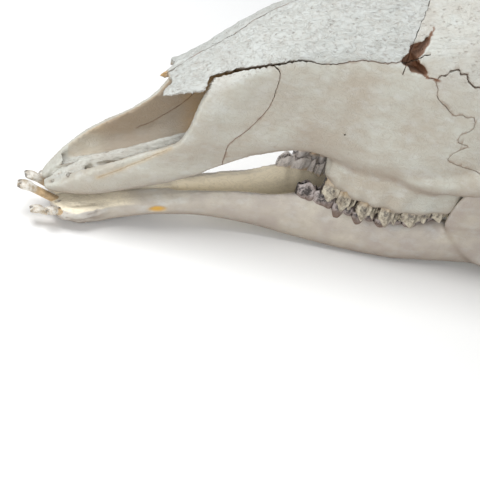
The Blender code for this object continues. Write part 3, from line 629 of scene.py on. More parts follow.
def upper_skull_pieces():
    """Overlapping bodies that the upper skull is fused from."""
    pieces = [loft("face", [face_ring(x) for x in steps(-1, 400, 4)]),
              loft("vault", [vault_ring(x) for x in steps(300, 606, 4)])]
    pieces += pair(loft("gum", [gum_ring(x) for x in steps(241, 388, 3)]))
    pieces += pair(rope("cheek_arch", [(286, -55, 50), (320, -64, 42), (356, -73, 46), (384, -85, 58),
                                       (410, -96, 80), (440, -103, 97), (472, -106, 102),
                                       (506, -101, 105), (534, -88, 111), (556, -64, 112)],
                        (3, 7, 8, 8, 7, 6.5, 6, 6, 9, 8), (4, 9, 13, 17, 17, 12, 10, 9, 10, 10)))
    pieces += pair(rope("orbit_floor", [(372, -66, 70), (400, -82, 96), (424, -96, 108)],
                        (16, 14, 8), (26, 20, 8)))
    pieces += pair(rope("orbit_bar", [(474, -105, 104), (479, -109, 140), (470, -104, 178),
                                      (462, -92, 192)], (7, 6, 7, 10), (6, 6, 7, 9), up=(1, 0, 0)))
    pieces += pair(orbit_rim())
    # joint for the lower jaw, with the ear region behind it
    pieces += pair(ball("jaw_joint", (533, -82, 111), (20, 25, 11)))
    pieces += pair(ball("ear_root", (562, -56, 104), (16, 18, 20)))
    pieces += pair(rope("ear_tube", [(560, -52, 90), (556, -66, 96)], (7, 6), (7, 6)))
    pieces += pair(ball("bulla", (560, -32, 55), (15, 9, 13), (0, 20, 0)))
    pieces += pair(rope("jugular_process", [(582, -46, 92), (588, -45, 62), (590, -40, 30)],
                        (11, 9, 5), (8, 6.5, 4.5), up=(1, 0, 0)))
    # base of the brain case, back of the palate, back of the head
    pieces.append(rope("skull_base", [(388, 0, 66), (440, 0, 70), (500, 0, 62), (560, 0, 62),
                                      (604, 0, 66)], (22, 14, 14, 18, 26), (22, 12, 12, 12, 14)))
    pieces += pair(rope("palate_wing", [(366, -24, 44), (400, -21, 44), (432, -20, 50),
                                        (464, -20, 60)], (8, 5, 5, 7), (14, 22, 25, 14)))
    pieces += pair(ball("condyle", (601, -22, 68), (15, 13, 17), (0, -25, -18)))
    pieces.append(rope("nuchal_crest", [(568, -57, 112), (586, -54, 134), (595, -43, 150),
                                        (598, -23, 160), (599, 0, 163), (598, 23, 160),
                                        (595, 43, 150), (586, 54, 134), (568, 57, 112)],
                       (5, 6, 7, 8, 8, 8, 7, 6, 5), (5, 6, 6, 7, 7, 7, 6, 6, 5), up=(1, 0, 0)))
    # low boss between the eyes and the swellings that carry the ossicones
    pieces.append(ball("median_boss", (376, 0, 198), (74, 42, 32), (0, -6, 0)))
    x, y, z = OSSICONE_FOOT
    pieces += pair(ball("ossicone_swelling", (x - 6, -y, z - 14), (38, 30, 22), (0, 20, 0)))
    pieces += pair(ossicone())
    return pieces


def upper_relief(co, no):
    """Soft unevenness all over, tooth roots under the cheek, and rough bone on the nose."""
    s = sizes()
    x, y, z = co.T
    out = 0.45 * ripple(co, 24, s.seed) + 0.22 * ripple(co, 9, s.seed + 1)
    above_gum = z - along_track(gum_z, x)
    roots = np.zeros(len(co))
    for a, b in zip(UPPER_EDGES, UPPER_EDGES[1:]):
        roots += np.exp(-((x - (a + b) / 2) / (0.30 * (b - a))) ** 2)
    on_cheek = (np.abs(y) > along_track(gum_y, x) - 9) & (no[:, 1] * y > 0)
    out += 2.1 * (roots - 0.5) * on_cheek * ramp(above_gum, 30, 6) * ramp(above_gum, -6, 0)
    rough = rough_nose(co, no)
    out += s.rough_relief * rough * (0.7 * ripple(co, (11, 3.6, 3.6), s.seed + 2)
                                     + 0.9 * np.minimum(0.25 - ripple(co, (6, 3.4, 3.4), s.seed + 3), 0))
    ridge = ramp(np.abs(y), 15, 10) * ramp(z - along_track(ridge_z, x), 8, 3)
    ridge = ridge * ramp(x, 4, 14) * ramp(x, 150, 120)
    out += 0.7 * ridge * ripple(co, (20, 3.2, 5), s.seed + 5)
    horn = ramp(z, 222, 240) * ramp(x, 470, 492)
    out += horn * 0.8 * ripple(co, (16, 5, 16), s.seed + 4)
    return out


def rough_nose(co, no):
    """1 on the nasals and the forehead before the eyes, 0 on the smooth sides."""
    x, _, z = co.T
    top = ramp(z - along_track(shoulder_z, x), -9, 2) * ramp(no[:, 2], -0.2, 0.25)
    before_eye = 0.8 * ramp(x, 270, 305) * ramp(z, 118, 150)
    return np.maximum(top * ramp(x, 60, 90) * ramp(x, 440, 330), before_eye * ramp(x, 415, 385))


def nasal_relief(co, no):
    """Long ridges, worm-like grain and pits on the outside of the nasals, frayed at their tips."""
    s = sizes()
    rough = rough_nose(co, no) * ramp(no[:, 2], 0.05, 0.3)
    frayed = ramp(co[:, 0], 125, 92)
    out = (0.62 + 0.5 * frayed) * ripple(co, (26, 2.9, 4), s.seed + 20)
    out += 0.35 * ripple(co, (7, 2.0, 2.4), s.seed + 21)
    out += 0.8 * np.minimum(0.22 - ripple(co, (9, 2.8, 2.8), s.seed + 22), 0) * (1 - 0.6 * frayed)
    return rough * out


def premaxilla_ridge(co):
    """1 on the bone that runs back between the premaxillae."""
    x, y, z = co.T
    return ramp(np.abs(y), 15, 11) * ramp(x, 2, 12) * ramp(z - along_track(ridge_z, x), 8, 2)


def premaxilla_relief(co, no):
    """Striped, spongy bone on the ridge between the premaxillae, a faint grain elsewhere."""
    s = sizes()
    x, y, z = co.T
    ridge = premaxilla_ridge(co)
    out = 0.8 * ripple(co, (13, 2.4, 3.2), s.seed + 23) + 0.5 * ripple(co, (4.5, 2.2, 2.6), s.seed + 24)
    out = ridge * out * (1 + 0.8 * ramp(x, 60, 40))
    out += 0.10 * (1 - ridge) * ripple(co, (7, 2.4, 2.4), s.seed + 25)
    crest = ramp(z - along_track(ridge_z, x), -4, -1) * ramp(x, 20, 30) * ramp(no[:, 2], 0.4, 0.8)
    return out - 1.5 * ridge * crest * (y > 0)      # the right process ends lower than the left


# Upper skull: its hollows and the seams between its bones
LEFT_MARGIN = ((-30, -8), (-6, -5), (2, -1), (11, 3), (25, 15), (39, 23.5), (69, 38.5), (96, 50.5),
               (104, 63), (107, 73), (111, 90), (116, 99.5))
RIGHT_MARGIN = ((-30, -8), (-6, -5), (2, 2), (15, 15.5), (33, 28.5), (53, 40), (72, 50.5), (90, 64),
                (98, 74.5), (104, 84.5), (110, 93), (116, 99.5))
GAP_OVER_CHEEK = (   # x, z round the ragged opening before the lacrimal
    (261, 148), (264, 151), (267, 155), (267, 159), (271, 162), (275, 163), (279, 167), (281, 171),
    (284, 175), (286, 180), (287, 180), (285, 174), (283, 170), (282, 165), (280, 161), (278, 156),
    (275, 152), (278, 148), (282, 147), (286, 142), (288, 137), (284, 139), (282, 141), (277, 141),
    (272, 141), (269, 145), (265, 145))
POCKET_FLOOR = 42.0         # how far from the midline the ragged opening ends
POCKET_FRONT = 262.0        # from here back bones meet unstained but for their seams
NOSE_WALL = 6.5             # thickness of the bone round the airway
# painted shade: brown round the hollows at the snout tip
TIP_PIT_SHADE = ((4, -10, 2), (15, -12, 11), (19, -12, 7), (23, -12, 4))     # where the tip's hollows are brown
# height of the ridge between the premaxillae along the skull
ridge_z = track((12, 5), (33, 18.5), (55, 25.5), (76, 32), (112, 44.5), (150, 57), (200, 67), (250, 67))


def nasal_hollow():
    """Airway from the opening to below the back of the nasals, with a flat ridge along its floor."""
    rings = []
    for x in steps(14, 318, 5):
        close = 1 - max(0.0, (x - 292) / 30.0) ** 2
        close *= 1 - 0.28 * float(ramp(x, 238, 262))        # thick walls round the pocket before the eye
        top = roof(x) - NOSE_WALL
        sy = max(shoulder_y(x) - NOSE_WALL, 3) * close
        wy = max(wall_y(x) - 6, 3) * close
        fz = max(keel_z(x), foot_z(x)) + 9
        low = fz + (1 - close) * 20
        crest = max(ridge_z(x), low + 3)
        rings.append(both_sides([(0, top), (sy * 0.52, top - (top - shoulder_z(x)) * 0.26),
                                 (sy, shoulder_z(x) - 3), (wy, max(wall_z(x), low + 14)),
                                 (wy * 0.86, low + 3), (min(12, wy * 0.6), low),
                                 (min(3.2, wy * 0.2), crest - 1.0), (0, crest)], x))
    return loft("airway", rings)


def aperture(margin, side):
    """Space above one premaxilla and in front of the nasals' side edge."""
    over = [(108, 97.5), (98, 95), (84, 90), (78, 89.5), (68, 95), (40, 110), (-30, 110)]
    low, high = (-70, 0.01) if side < 0 else (-0.01, 70)
    edge = [(p.x, p.y) for p in bend([(u, v, 0) for u, v in margin], 3)]
    return slab("aperture", edge + over, low, high, 'Y')


def nasal_front():
    """Trims the front of the nasals to two points on each side with a notch between."""
    tips = [(60, -60), (120, -60), (116, -40), (92, -31), (NASAL_TIP_X - 7, -25), (82, -20), (91, -12),
            (90, -7), (NASAL_TIP_X + 2, -4), (91, -1), (90, 0.6), (NASAL_TIP_X - 4, 1.4),
            (NASAL_TIP_X - 3, 3.2), (92, 6), (98, 12), (97, 19), (98, 25), (105, 31), (116, 40),
            (120, 60), (60, 60)]
    return slab("nasal_front", tips, 86, 140, 'Z')


def palate_slots():
    """The long slot on each side of the palatine processes, the gap at the tip and a thin nasal point."""
    slot = [(30, -9), (45, -10.5), (75, -12.5), (105, -13), (121, -11), (121, -9), (100, -8.5),
            (70, -8.5), (45, -7), (30, -6)]
    tip = [(-12, 3), (0, 2.2), (8, 0.8), (11, 0), (8, -0.8), (0, -2.2), (-12, -3)]
    under = [(66, 84), (91, 84), (92, 90), (88, 93), (84, 94), (66, 93)]
    slots = pair(slab("palate_slot", slot, -20, 80, 'Z'))
    slots.append(slab("tip_gap", tip, -20, 60, 'Z'))
    slots.append(slab("under_point", under, -7, 7, 'Y'))
    return slots


def orbit_cut():
    """Both eye sockets, open outwards."""
    cx, cy, cz = ORBIT_CENTRE
    r = ORBIT_RADIUS
    return pair(rope("orbit", [(462, -34, 132), (450, -62, 138), (cx + 3, -cy + 12, cz - 1),
                               (cx - 2, -cy - 14, cz + 1), (cx - 8, -cy - 60, cz + 3)],
                     (5, 22, r - 0.5, r + 1, r + 12), (5, 21, r - 0.5, r + 1, r + 12), sides=32))


def other_hollows():
    """Temples, the hole for the spinal cord, the back of the nose and the ragged openings."""
    cuts = pair(ball("temporal_fossa", (512, -84, 140), (26, 24, 44), (0, 18, 0)))
    cuts.append(rope("foramen_magnum", [(640, 0, 100), (606, 0, 92), (575, 0, 96), (560, 0, 100)],
                     (17, 16, 13, 6), (16, 14, 12, 6)))
    cuts.append(rope("choana", [(520, 0, 20), (440, 0, 40), (410, 0, 52), (372, 0, 62)],
                     (13, 14, 14, 8), (26, 20, 14, 8)))
    cuts += pair(slab("gap_over_cheek", GAP_OVER_CHEEK, -90, -POCKET_FLOOR, 'Y'))
    return cuts


def small_openings():
    """Nerve and vessel holes: cheek, snout tip, over and inside the eye socket, under the brain case."""
    holes = [rope("cheek_hole", [(230, -60, 74), (238, -47, 76), (246, -40, 78)], (1.2, 1.0, 0.5),
                  (1.2, 1.0, 0.5)),
             rope("brow_hole", [(424, -58, 236), (428, -60, 212), (432, -60, 198)], (3, 2.6, 1), (3, 2.6, 1)),
             rope("tear_hole", [(400, -104, 122), (394, -92, 122), (386, -82, 124)], (3, 2.4, 1), (4, 3, 1)),
             rope("optic_hole", [(455, -44, 134), (470, -30, 128), (482, -20, 122)], (6, 5, 2), (6, 5, 2)),
             rope("ear_hole", [(558, -78, 96), (558, -62, 95), (560, -48, 92)], (3.2, 3.2, 2), (3.6, 3.4, 2)),
             rope("oval_hole", [(520, -26, 44), (522, -28, 58), (526, -28, 70)], (4, 3.4, 1), (6, 5, 1)),
             rope("nerve_hole", [(586, -28, 48), (584, -26, 60), (580, -22, 72)], (3, 2.6, 1), (3, 2.6, 1))]
    pits = [rope("tip_pit", [(1, -9, 10), (5, -10, 1), (10, -11, -5)], (4.2, 2.8, 0.8), (2.8, 1.9, 0.8)),
            rope("ridge_pit", [(12, -11, 17), (17, -12, 8), (25, -12, 2)], (7.5, 4.4, 0.8), (2.6, 1.9, 0.8))]
    return pits + [h for hole in holes for h in pair(hole)]


def zigzag(count, throw, seed):
    """Sideways offsets of a seam: quick teeth on a slower wander."""
    rng = np.random.default_rng(seed)
    teeth = rng.uniform(-1, 1, count) * np.where(np.arange(count) % 2, 1, -0.6)
    wander = np.convolve(rng.uniform(-1, 1, count + 8), np.ones(9) / 9, mode='valid')
    return throw * (0.75 * teeth + 1.4 * wander)


def sheet(name, path, depth_a, depth_b, widths=None, throw=0.0, seed=0, step=1.7, found=None):
    """Thin wall along path, whose items are (point, inward direction); widths are read along it.

    Points in its middle go to found."""
    base = even([p for p, _ in path], step)
    inward = [Vector(d).normalized() for _, d in path]
    count = len(base)
    shift = zigzag(count, throw, seed)
    if throw:
        shift *= np.minimum(1, np.minimum(np.arange(count), count - 1 - np.arange(count)) / 3)
    wide = np.interp(np.linspace(0, 1, count), np.linspace(0, 1, len(widths or (0, 0))),
                     widths or (sizes().seam_gap,) * 2)
    rough = np.random.default_rng(seed + 99).uniform(0.6, 1.4, count)
    rings = []
    for i, p in enumerate(base):
        inn = inward[min(round(i / (count - 1) * (len(inward) - 1)), len(inward) - 1)]
        along = base[min(i + 1, count - 1)] - base[max(i - 1, 0)]
        side = along.cross(inn).normalized()
        half = wide[i] * (rough[i] if throw else 1) / 2
        half = max(half, sizes().seam_gap / 2)
        a, b = p - inn * depth_a, p + inn * depth_b
        rings.append([a + side * (shift[i] - half), a + side * (shift[i] + half),
                      b + side * (shift[i] + half), b + side * (shift[i] - half)])
        if found is not None:
            found += [p + inn * t + side * shift[i] for t in (-2, 0, 2, 4, 6, 8)]
    return loft(name, rings)


def bone_seams(found):
    """Cuts that free premaxillae, nasals and ossicones; they widen where dried tissue fell out."""
    s = sizes()
    line = bend([(153, 0, 128.5), (160, 0, 128.5), (167, 0, 122), (168, 0, 108), (167, 0, 91),
                 (156, 0, 70), (143, 0, 56), (141, 0, 46), (143, 0, 10)], 3)
    cuts = [sheet("premaxilla_seam", [((p.x, 0, p.z), (0, 1, 0)) for p in line[2:]], 70, 70,
                  (0.9, 0.8, 0.5, 0.4, 0.4, 0.4), s.seam_throw * 0.5, s.seed)]
    edge = bend([(104, -37, 92), (113, -34.5, 101), (117, -34, 113), (124, -35.5, 118), (134, -37, 123.5),
                 (147, -39, 127), (162, -41, 131), (182, -44, 137.5), (198, -46, 137.5), (214, -48, 139.5),
                 (231, -50, 145), (244, -53, 145.5), (258, -56, 148), (272, -59, 154), (284, -60, 159)], 3)
    wet = []
    gaps = (0.6, 3.2, 2.6, 1.8, 1.4, 0.7, 0.4, 0.4, 0.5, 1.2)
    cuts += pair(sheet("nasal_side_seam", [(p, (0, 0.8, -0.6)) for p in edge], 14, 32, gaps,
                       s.seam_throw, s.seed + 3, found=wet))
    wet = [p for p in wet if p.x < 160]
    found += wet + [Vector((p.x, -p.y, p.z)) for p in wet]
    back = bend([(258, -66, 0), (268, -52, 0), (282, -34, 0), (292, -14, 0), (NASAL_END_X, 0, 0)], 3)
    back += [Vector((p.x, -p.y, 0)) for p in reversed(back[:-1])]
    cuts.append(sheet("nasal_back_seam", [((p.x, p.y, roof(p.x)), (0, 0, -1)) for p in back], 30, 64,
                      (1.2, 0.5, 0.4, 0.4, 0.4, 0.5, 1.2), s.seam_throw, s.seed + 5))
    half = s.seam_gap / 2
    cuts.append(slab("midline_front", [(-20, -half), (152, -half), (152, half), (-20, half)], -30, 74, 'Z'))
    ridge = [((x, 0, roof(x)), (0, 0, -1)) for x in steps(70, NASAL_END_X, 6)]
    cuts.append(sheet("midline_top", ridge, 30, 40, (0.5, 0.4, 0.4), s.seam_throw * 0.35, s.seed + 6))
    x, y, z = OSSICONE_FOOT
    cuts += pair(disc("ossicone_seam", (x + 2, -y, z + 10), (0.2, -0.36, 0.91), 44, s.seam_gap * 1.6))
    return cuts


CASTS = {    # how a pair of numbers becomes a ray onto the bone
    "left": lambda u, v: (Vector((u, -300, v)), Vector((0, 1, 0))),
    "right": lambda u, v: (Vector((u, 300, v)), Vector((0, -1, 0))),
    "top": lambda u, v: (Vector((u, v, 400)), Vector((0, 0, -1))),
    "under": lambda u, v: (Vector((u, v, -200)), Vector((0, 0, 1))),
    "behind": lambda u, v: (Vector((800, u, v)), Vector((-1, 0, 0))),
    "inner_left": lambda u, v: (Vector((u, 0, v)), Vector((0, -1, 0))),
    "inner_right": lambda u, v: (Vector((u, 0, v)), Vector((0, 1, 0)))}


def groove(surface, cast, stops, wide, deep, throw, seed, found):
    """Wedge-shaped cuts that follow a zigzag line thrown onto a surface."""
    base = even(bend([(u, v, 0) for u, v in stops], 4), 1.6)
    runs = [[]]
    for p in base:
        origin, ray = CASTS[cast](p.x, p.y)
        hit, normal, _, _ = surface.ray_cast(origin, ray)
        last = runs[-1][-1][0] if runs[-1] else None
        if hit is None or (last is not None and (hit - last).length > 9):
            runs.append([])
        if hit is not None:
            runs[-1].append((hit, normal if normal.dot(ray) < 0 else -normal))
    cuts = []
    for n, run in enumerate(r for r in runs if len(r) > 4):
        count = len(run)
        shift = zigzag(count, throw, seed + 13 * n)
        rough = np.random.default_rng(seed + n).uniform(0.65, 1.35, count)
        rings = []
        for i, (p, _) in enumerate(run):
            out = sum((r[1] for r in run[max(i - 3, 0):i + 4]), Vector()).normalized()
            along = run[min(i + 2, count - 1)][0] - run[max(i - 2, 0)][0]
            side = along.cross(out).normalized()
            fade = min(1, (i + 1) / 3, (count - i) / 3)
            mid, half, down = p + side * shift[i], wide * rough[i] * fade / 2, deep * rough[i] * fade
            rings.append([mid - side * half * 2 + out * 1.2, mid + side * half * 2 + out * 1.2,
                          mid - out * down])
            found.append(mid - out * down * 0.5)
        cuts.append(loft("groove", rings))
    return cuts


FACE_SEAMS = (   # cast, width, depth, stops; the left ones are repeated on the right
    ("left", 1.2, 3.0, ((294, 139), (296, 142), (301, 144.5), (304, 148), (309, 150), (312, 147.5),
                        (317, 148), (319, 144), (323, 141), (328, 139), (340, 139), (352, 141),
                        (366, 147), (380, 158), (392, 168))),
    ("left", 0.45, 1.3, ((294, 139), (295, 135), (298, 131), (299, 125.5), (304, 121.5), (310, 118),
                         (315, 114), (320, 111.5), (326, 113.5), (331, 112), (337, 113), (340, 103),
                         (332, 95), (334, 88), (343, 86), (334, 78), (331, 70.5), (338, 67.5),
                         (351, 65), (366, 62), (384, 56))),
    ("left", 0.6, 1.4, ((286, 139.5), (290, 139), (294, 139))),
    ("left", 0.8, 2.0, ((384, 56), (398, 70), (408, 84), (412, 98))),
    ("left", 0.7, 1.8, ((462, 112), (474, 104), (492, 99), (510, 94))),
    ("left", 0.6, 1.6, ((464, 178), (474, 172), (486, 168))),
    ("left", 0.8, 2.0, ((508, 176), (524, 160), (538, 146), (556, 138), (574, 130))),
    ("under", 0.6, 1.6, ((262, -36), (282, -30), (300, -20), (306, 0), (300, 20), (282, 30), (262, 36))),
    ("under", 0.6, 1.6, ((130, 0), (200, 0), (300, 0), (372, 0))),
    ("under", 1.2, 2.6, ((524, -14), (525, 0), (524, 14))),
    ("top", 0.8, 2.2, ((302, 0), (340, 2), (380, -2), (430, 1), (470, -1), (520, 0))),
    ("top", 0.9, 2.4, ((498, -96), (508, -70), (518, -40), (522, -14), (524, 0), (522, 14), (518, 40),
                       (508, 70), (498, 96))),
    ("behind", 0.7, 1.8, ((-46, 128), (-30, 132), (-10, 136), (10, 136), (30, 132), (46, 128))))
# x, z of the faint seam on the inner side of each premaxilla
INNER_SEAM = ((74, 29), (81, 34.6), (90, 38.5), (100, 45.3), (112, 54.3), (123, 65.3), (132, 78))
# x, z of the greasy furrow along each premaxilla's edge
TOP_GROOVE = ((92, 48), (88, 45.3), (70, 33.3), (51, 22.8), (38, 15.5))

UPPER_BONES = ("cranium", "premaxilla_left", "premaxilla_right", "nasal_left", "nasal_right",
               "ossicone_left", "ossicone_right")
FACE_BACK = 400.0               # of the bones that part, only the ossicones lie behind this
SNOUT_BACK, SNOUT_TOP = 130.0, 90.0     # the premaxillae's middles lie before and below these


def build_upper():
    """Upper skull with its openings, before it is parted into bones."""
    s = sizes()
    whole = melt(gather("upper", upper_skull_pieces()), s.grain, 18)
    carve(whole, upper_relief)
    airway = nasal_hollow()
    inside = BVHTree.FromPolygons([v.co[:] for v in airway.data.vertices],
                                  [p.vertices[:] for p in airway.data.polygons])
    cuts = [airway, aperture(LEFT_MARGIN, -1), aperture(RIGHT_MARGIN, 1), nasal_front()]
    cut_each(whole, cuts + palate_slots() + orbit_cut() + other_hollows())
    melt(whole, s.grain, 2)
    thin_out(whole, s.upper_faces)
    cut(whole, small_openings())
    return whole, inside


def engrave(whole):
    """Closed seams inside the cranium, the faint seam inside the nose and the greasy furrow outside it.

    Returns where the open seams, the faint ones and the furrow run."""
    s = sizes()
    mesh = whole.data
    surface = BVHTree.FromPolygons(read_points(mesh).tolist(), [p.vertices[:] for p in mesh.polygons])
    found, faint, greasy, cuts = [], [], [], []
    for n, (cast, wide, deep, stops) in enumerate(FACE_SEAMS):
        for side in (("left", "right") if cast == "left" else (cast,)):
            throw = s.seam_throw * min(1.0, wide)
            cuts += groove(surface, side, stops, wide, deep, throw, s.seed + 40 * n + len(side),
                           found if wide > 0.5 else faint)
    for side in ("left", "right"):
        cuts += groove(surface, "inner_" + side, INNER_SEAM, 0.4, 1.0, 0.25, s.seed, faint)
        cuts += groove(surface, side, TOP_GROOVE, 1.9, 0.45, 0.3, s.seed + 3, greasy)
    cut_each(whole, cuts)
    return found, faint, greasy


def name_bones(whole, found):
    """Part the upper skull along its seams and name each bone by its size and where its middle lies."""
    cut_each(whole, bone_seams(found))
    bones, scraps = {}, []
    for part in loose_parts(whole):
        c = read_points(part.data).mean(axis=0)
        side = "left" if c[1] < 0 else "right"
        if not bones:
            name = "cranium"
        elif c[0] > FACE_BACK:
            name = "ossicone_" + side
        elif c[0] < SNOUT_BACK and c[2] < SNOUT_TOP:
            name = "premaxilla_" + side
        else:
            name = "nasal_" + side
        if name in bones:
            scraps.append(part)
        else:
            bones[name] = part
    drop(scraps)
    return bones


# Lower jaw
lower_gum_y = track((223, 25), (250, 30.5), (280, 36.5), (320, 43), (372, 49))
lower_gum_z = track((223, 1), (238, -2.5), (250, -5), (262, -8.5), (275, -12.5), (290, -15.5),
                    (312, -17.5), (333, -17.5), (361, -14), (376, -11))
jaw_y = track((10, 13), (20, 13), (60, 11.5), (100, 11.5), (130, 12.5), (170, 16), (223, 24.5),
              (280, 36), (333, 46), (400, 55), (450, 63), (510, 74))
jaw_half = track((10, 8), (17, 12.5), (28, 12.5), (60, 11), (100, 10.5), (130, 8.5), (170, 7.5),
                 (223, 8), (280, 10), (340, 12), (400, 10), (450, 7), (510, 5.5))
jaw_top = track((10, -19), (18, -15.5), (40, -13.5), (60, -12.5), (90, -9), (130, -6), (170, -3.5), (200, -3),
                (223, 1), (238, -2.5), (250, -5), (262, -8.5), (275, -12.5), (290, -15.5), (312, -17.5),
                (333, -17.5), (361, -14), (380, -11), (400, -2), (430, 10))
jaw_low = track((10, -28), (17, -33), JAW_REST_FRONT, (60, -32.5), (93, -29),
                (127, -29.5), (175, -35), (226, -44.5), (280, -52.5), (311, -55.5), (351, -57.5),
                (414, -58), (450, -62), JAW_REST_REAR, (512, -64))
CHIN_BACK = 112.0               # both halves meet before this


def jaw_ring(x):
    """Outline of the body of the left half of the lower jaw across x."""
    y, half, top, low = -jaw_y(x), jaw_half(x), jaw_top(x), jaw_low(x)
    top += 2.6 * float(ramp(x, 214, 232) * ramp(x, 388, 372))      # the fused skin shrinks round the teeth
    tall = (top - low) / 2
    inner = half if x > CHIN_BACK else jaw_y(x) + 4     # both halves meet along the chin
    count = 32
    ring = []
    for k in range(count):
        a = 2 * math.pi * k / count
        c, s = math.cos(a), math.sin(a)
        c = math.copysign(abs(c) ** 0.8, c)
        s = math.copysign(abs(s) ** 0.8, s)
        ring.append(Vector((x, y + (inner if c > 0 else half) * c, low + tall + tall * s)))
    return ring


def lower_jaw_pieces():
    """Left half of the lower jaw."""
    pieces = [loft("jaw_body", [jaw_ring(x) for x in steps(10, 452, 4)])]
    # the plate behind the teeth, in level rings from the angle up
    front = track((-62, 452), (-50, 418), (-20, 380), (-5, 369), (8, 369), (23, 371), (36, 379), (52, 401),
                  (68, 438), (88, 466))
    rear = track((-62, 508), (-45, 530), (-20, 536), (10, 531), (45, 522), (66, 517), (88, 507))
    plate_y = track((-70, 72), (-20, 66), (40, 73), (92, 79))
    plate_half = track((-62, 4), (-50, 6), (0, 7), (60, 6.5), (92, 5))
    rings = []
    count = 36
    for z in steps(-62, 88, 5):
        mid, half = (front(z) + rear(z)) / 2, (rear(z) - front(z)) / 2
        ring = []
        for k in range(count):
            a = 2 * math.pi * k / count
            c, s = math.cos(a), math.sin(a)
            c = math.copysign(abs(c) ** 0.8, c)
            back = mid + half * c - 440                 # the plate leans outwards more behind here
            lean = 0.09 * back if back > 0 else 0.05 * back
            ring.append(Vector((mid + half * c, -plate_y(z) - lean + plate_half(z) * s, z)))
        rings.append(ring)
    pieces.append(loft("jaw_plate", rings))
    pieces.append(rope("coronoid", [(472, -74, 46), (485, -77, 90), (498, -78, 122), (513, -76, 150),
                                    (531, -73, 170)],
                       (7, 7.5, 6.5, 5.5, 4), (20, 20, 14, 9.5, 5), up=(1, 0, 0)))
    x, y, z = JAW_CONDYLE
    pieces.append(rope("condyle_neck", [(502, -76, 24), (516, -80, 60), (x, -y, z)],
                       (6, 8, 12), (14, 14, 9), up=(1, 0, 0)))
    pieces.append(ball("condyle", (x, -y, z), (11, 20, 8.5), (0, 0, 8)))
    # rounded edge of the angle, where the chewing muscle was fixed
    pieces.append(rope("jaw_angle", [(420, -60, -46), (460, -69, -55), (JAW_REST_REAR[0], -75, -60.5),
                                     (516, -78, -50), (527, -78, -24)], (7, 7, 8, 8, 6), (8, 9, 9.5, 9, 6)))
    # spread end that carries the front teeth
    pieces.append(rope("chin_edge", [(11, -5, -24), (12, -15, -23), (16, -25, -21.5), (29, -27, -20.5),
                                     (46, -22, -20), (66, -17, -21)],
                       (6, 6, 6, 5, 4, 2), (5, 6, 6.5, 6, 5, 3)))
    # sharp crest between the front and the cheek teeth
    crest = [(x, -jaw_y(x) - 0.35 * jaw_half(x), jaw_top(x) - 1.3) for x in (104, 130, 160, 190, 212, 226)]
    pieces.append(rope("toothless_crest", crest, (1, 1.6, 1.8, 1.8, 2, 2.4), (1, 2.2, 2.6, 2.8, 3, 3.4)))
    return pieces


def mental_spot(co):
    """1 on the filled nerve opening on each side of the chin."""
    x, y, z = co.T
    return (np.abs(y) > 15) * np.exp(-0.7 * (((x - 95) / 7) ** 2 + ((z + 19.2) / 2.6) ** 2) ** 2)


def lower_relief(co, no):
    """Tooth roots, the hollow of the chewing muscle and rough bone on the chin and the angle."""
    s = sizes()
    x, y, z = co.T
    out = 0.4 * ripple(co, 26, s.seed + 8) + 0.2 * ripple(co, 8, s.seed + 9)
    spongy = 1.1 * ripple(co, (10, 3.6, 3.4), s.seed + 10)
    spongy += 1.6 * np.minimum(0.1 - ripple(co, (6, 3.4, 3.4), s.seed + 12), 0)
    out += ramp(x, 58, 34) * spongy * ramp(no[:, 2], 0.85, 0.5)     # round the roots of the front teeth
    out -= 0.9 * (mental_spot(co) > 0.5)
    roots = np.zeros(len(co))
    for a, b in zip(LOWER_EDGES, LOWER_EDGES[1:]):
        roots += np.exp(-((x - (a + b) / 2) / (0.3 * (b - a))) ** 2)
    below_gum = along_track(lower_gum_z, x) - z
    out += 0.7 * (roots - 0.5) * ramp(below_gum, 22, 6) * ramp(below_gum, -4, 0) * (np.abs(no[:, 1]) > 0.3)
    masseter = ramp(x, 420, 450) * ramp(x, 525, 500) * ramp(z, -50, -30) * ramp(z, 60, 40)
    out -= 1.6 * masseter * (no[:, 1] * y > 0)
    out += 0.7 * ramp(z, -30, -52) * ramp(x, 440, 470) * ripple(co, (5, 9, 5), s.seed + 11)
    return out


def build_jaw():
    """Left half of the lower jaw without teeth."""
    s = sizes()
    jaw = melt(gather("jaw", lower_jaw_pieces()), s.jaw_grain, 20)
    carve(jaw, lower_relief)
    half = s.seam_gap / 2
    holes = [slab("midline", [(-60, -half), (200, -half), (200, 60), (-60, 60)], -90, 60, 'Z'),
             rope("jaw_hole", [(452, -40, 22), (462, -58, 10), (470, -68, 0)], (4, 4.4, 1), (5, 6, 1))]
    for x, y, z in ((11, -13, -17), (14, -24, -19)):
        holes.append(rope("socket", [(x - 9, y, z + 3), (x, y, z - 1), (x + 10, y, z - 5)],
                          (2.6, 1.9, 0.8), (2.2, 1.6, 0.8)))
    cut_each(jaw, holes)
    return jaw


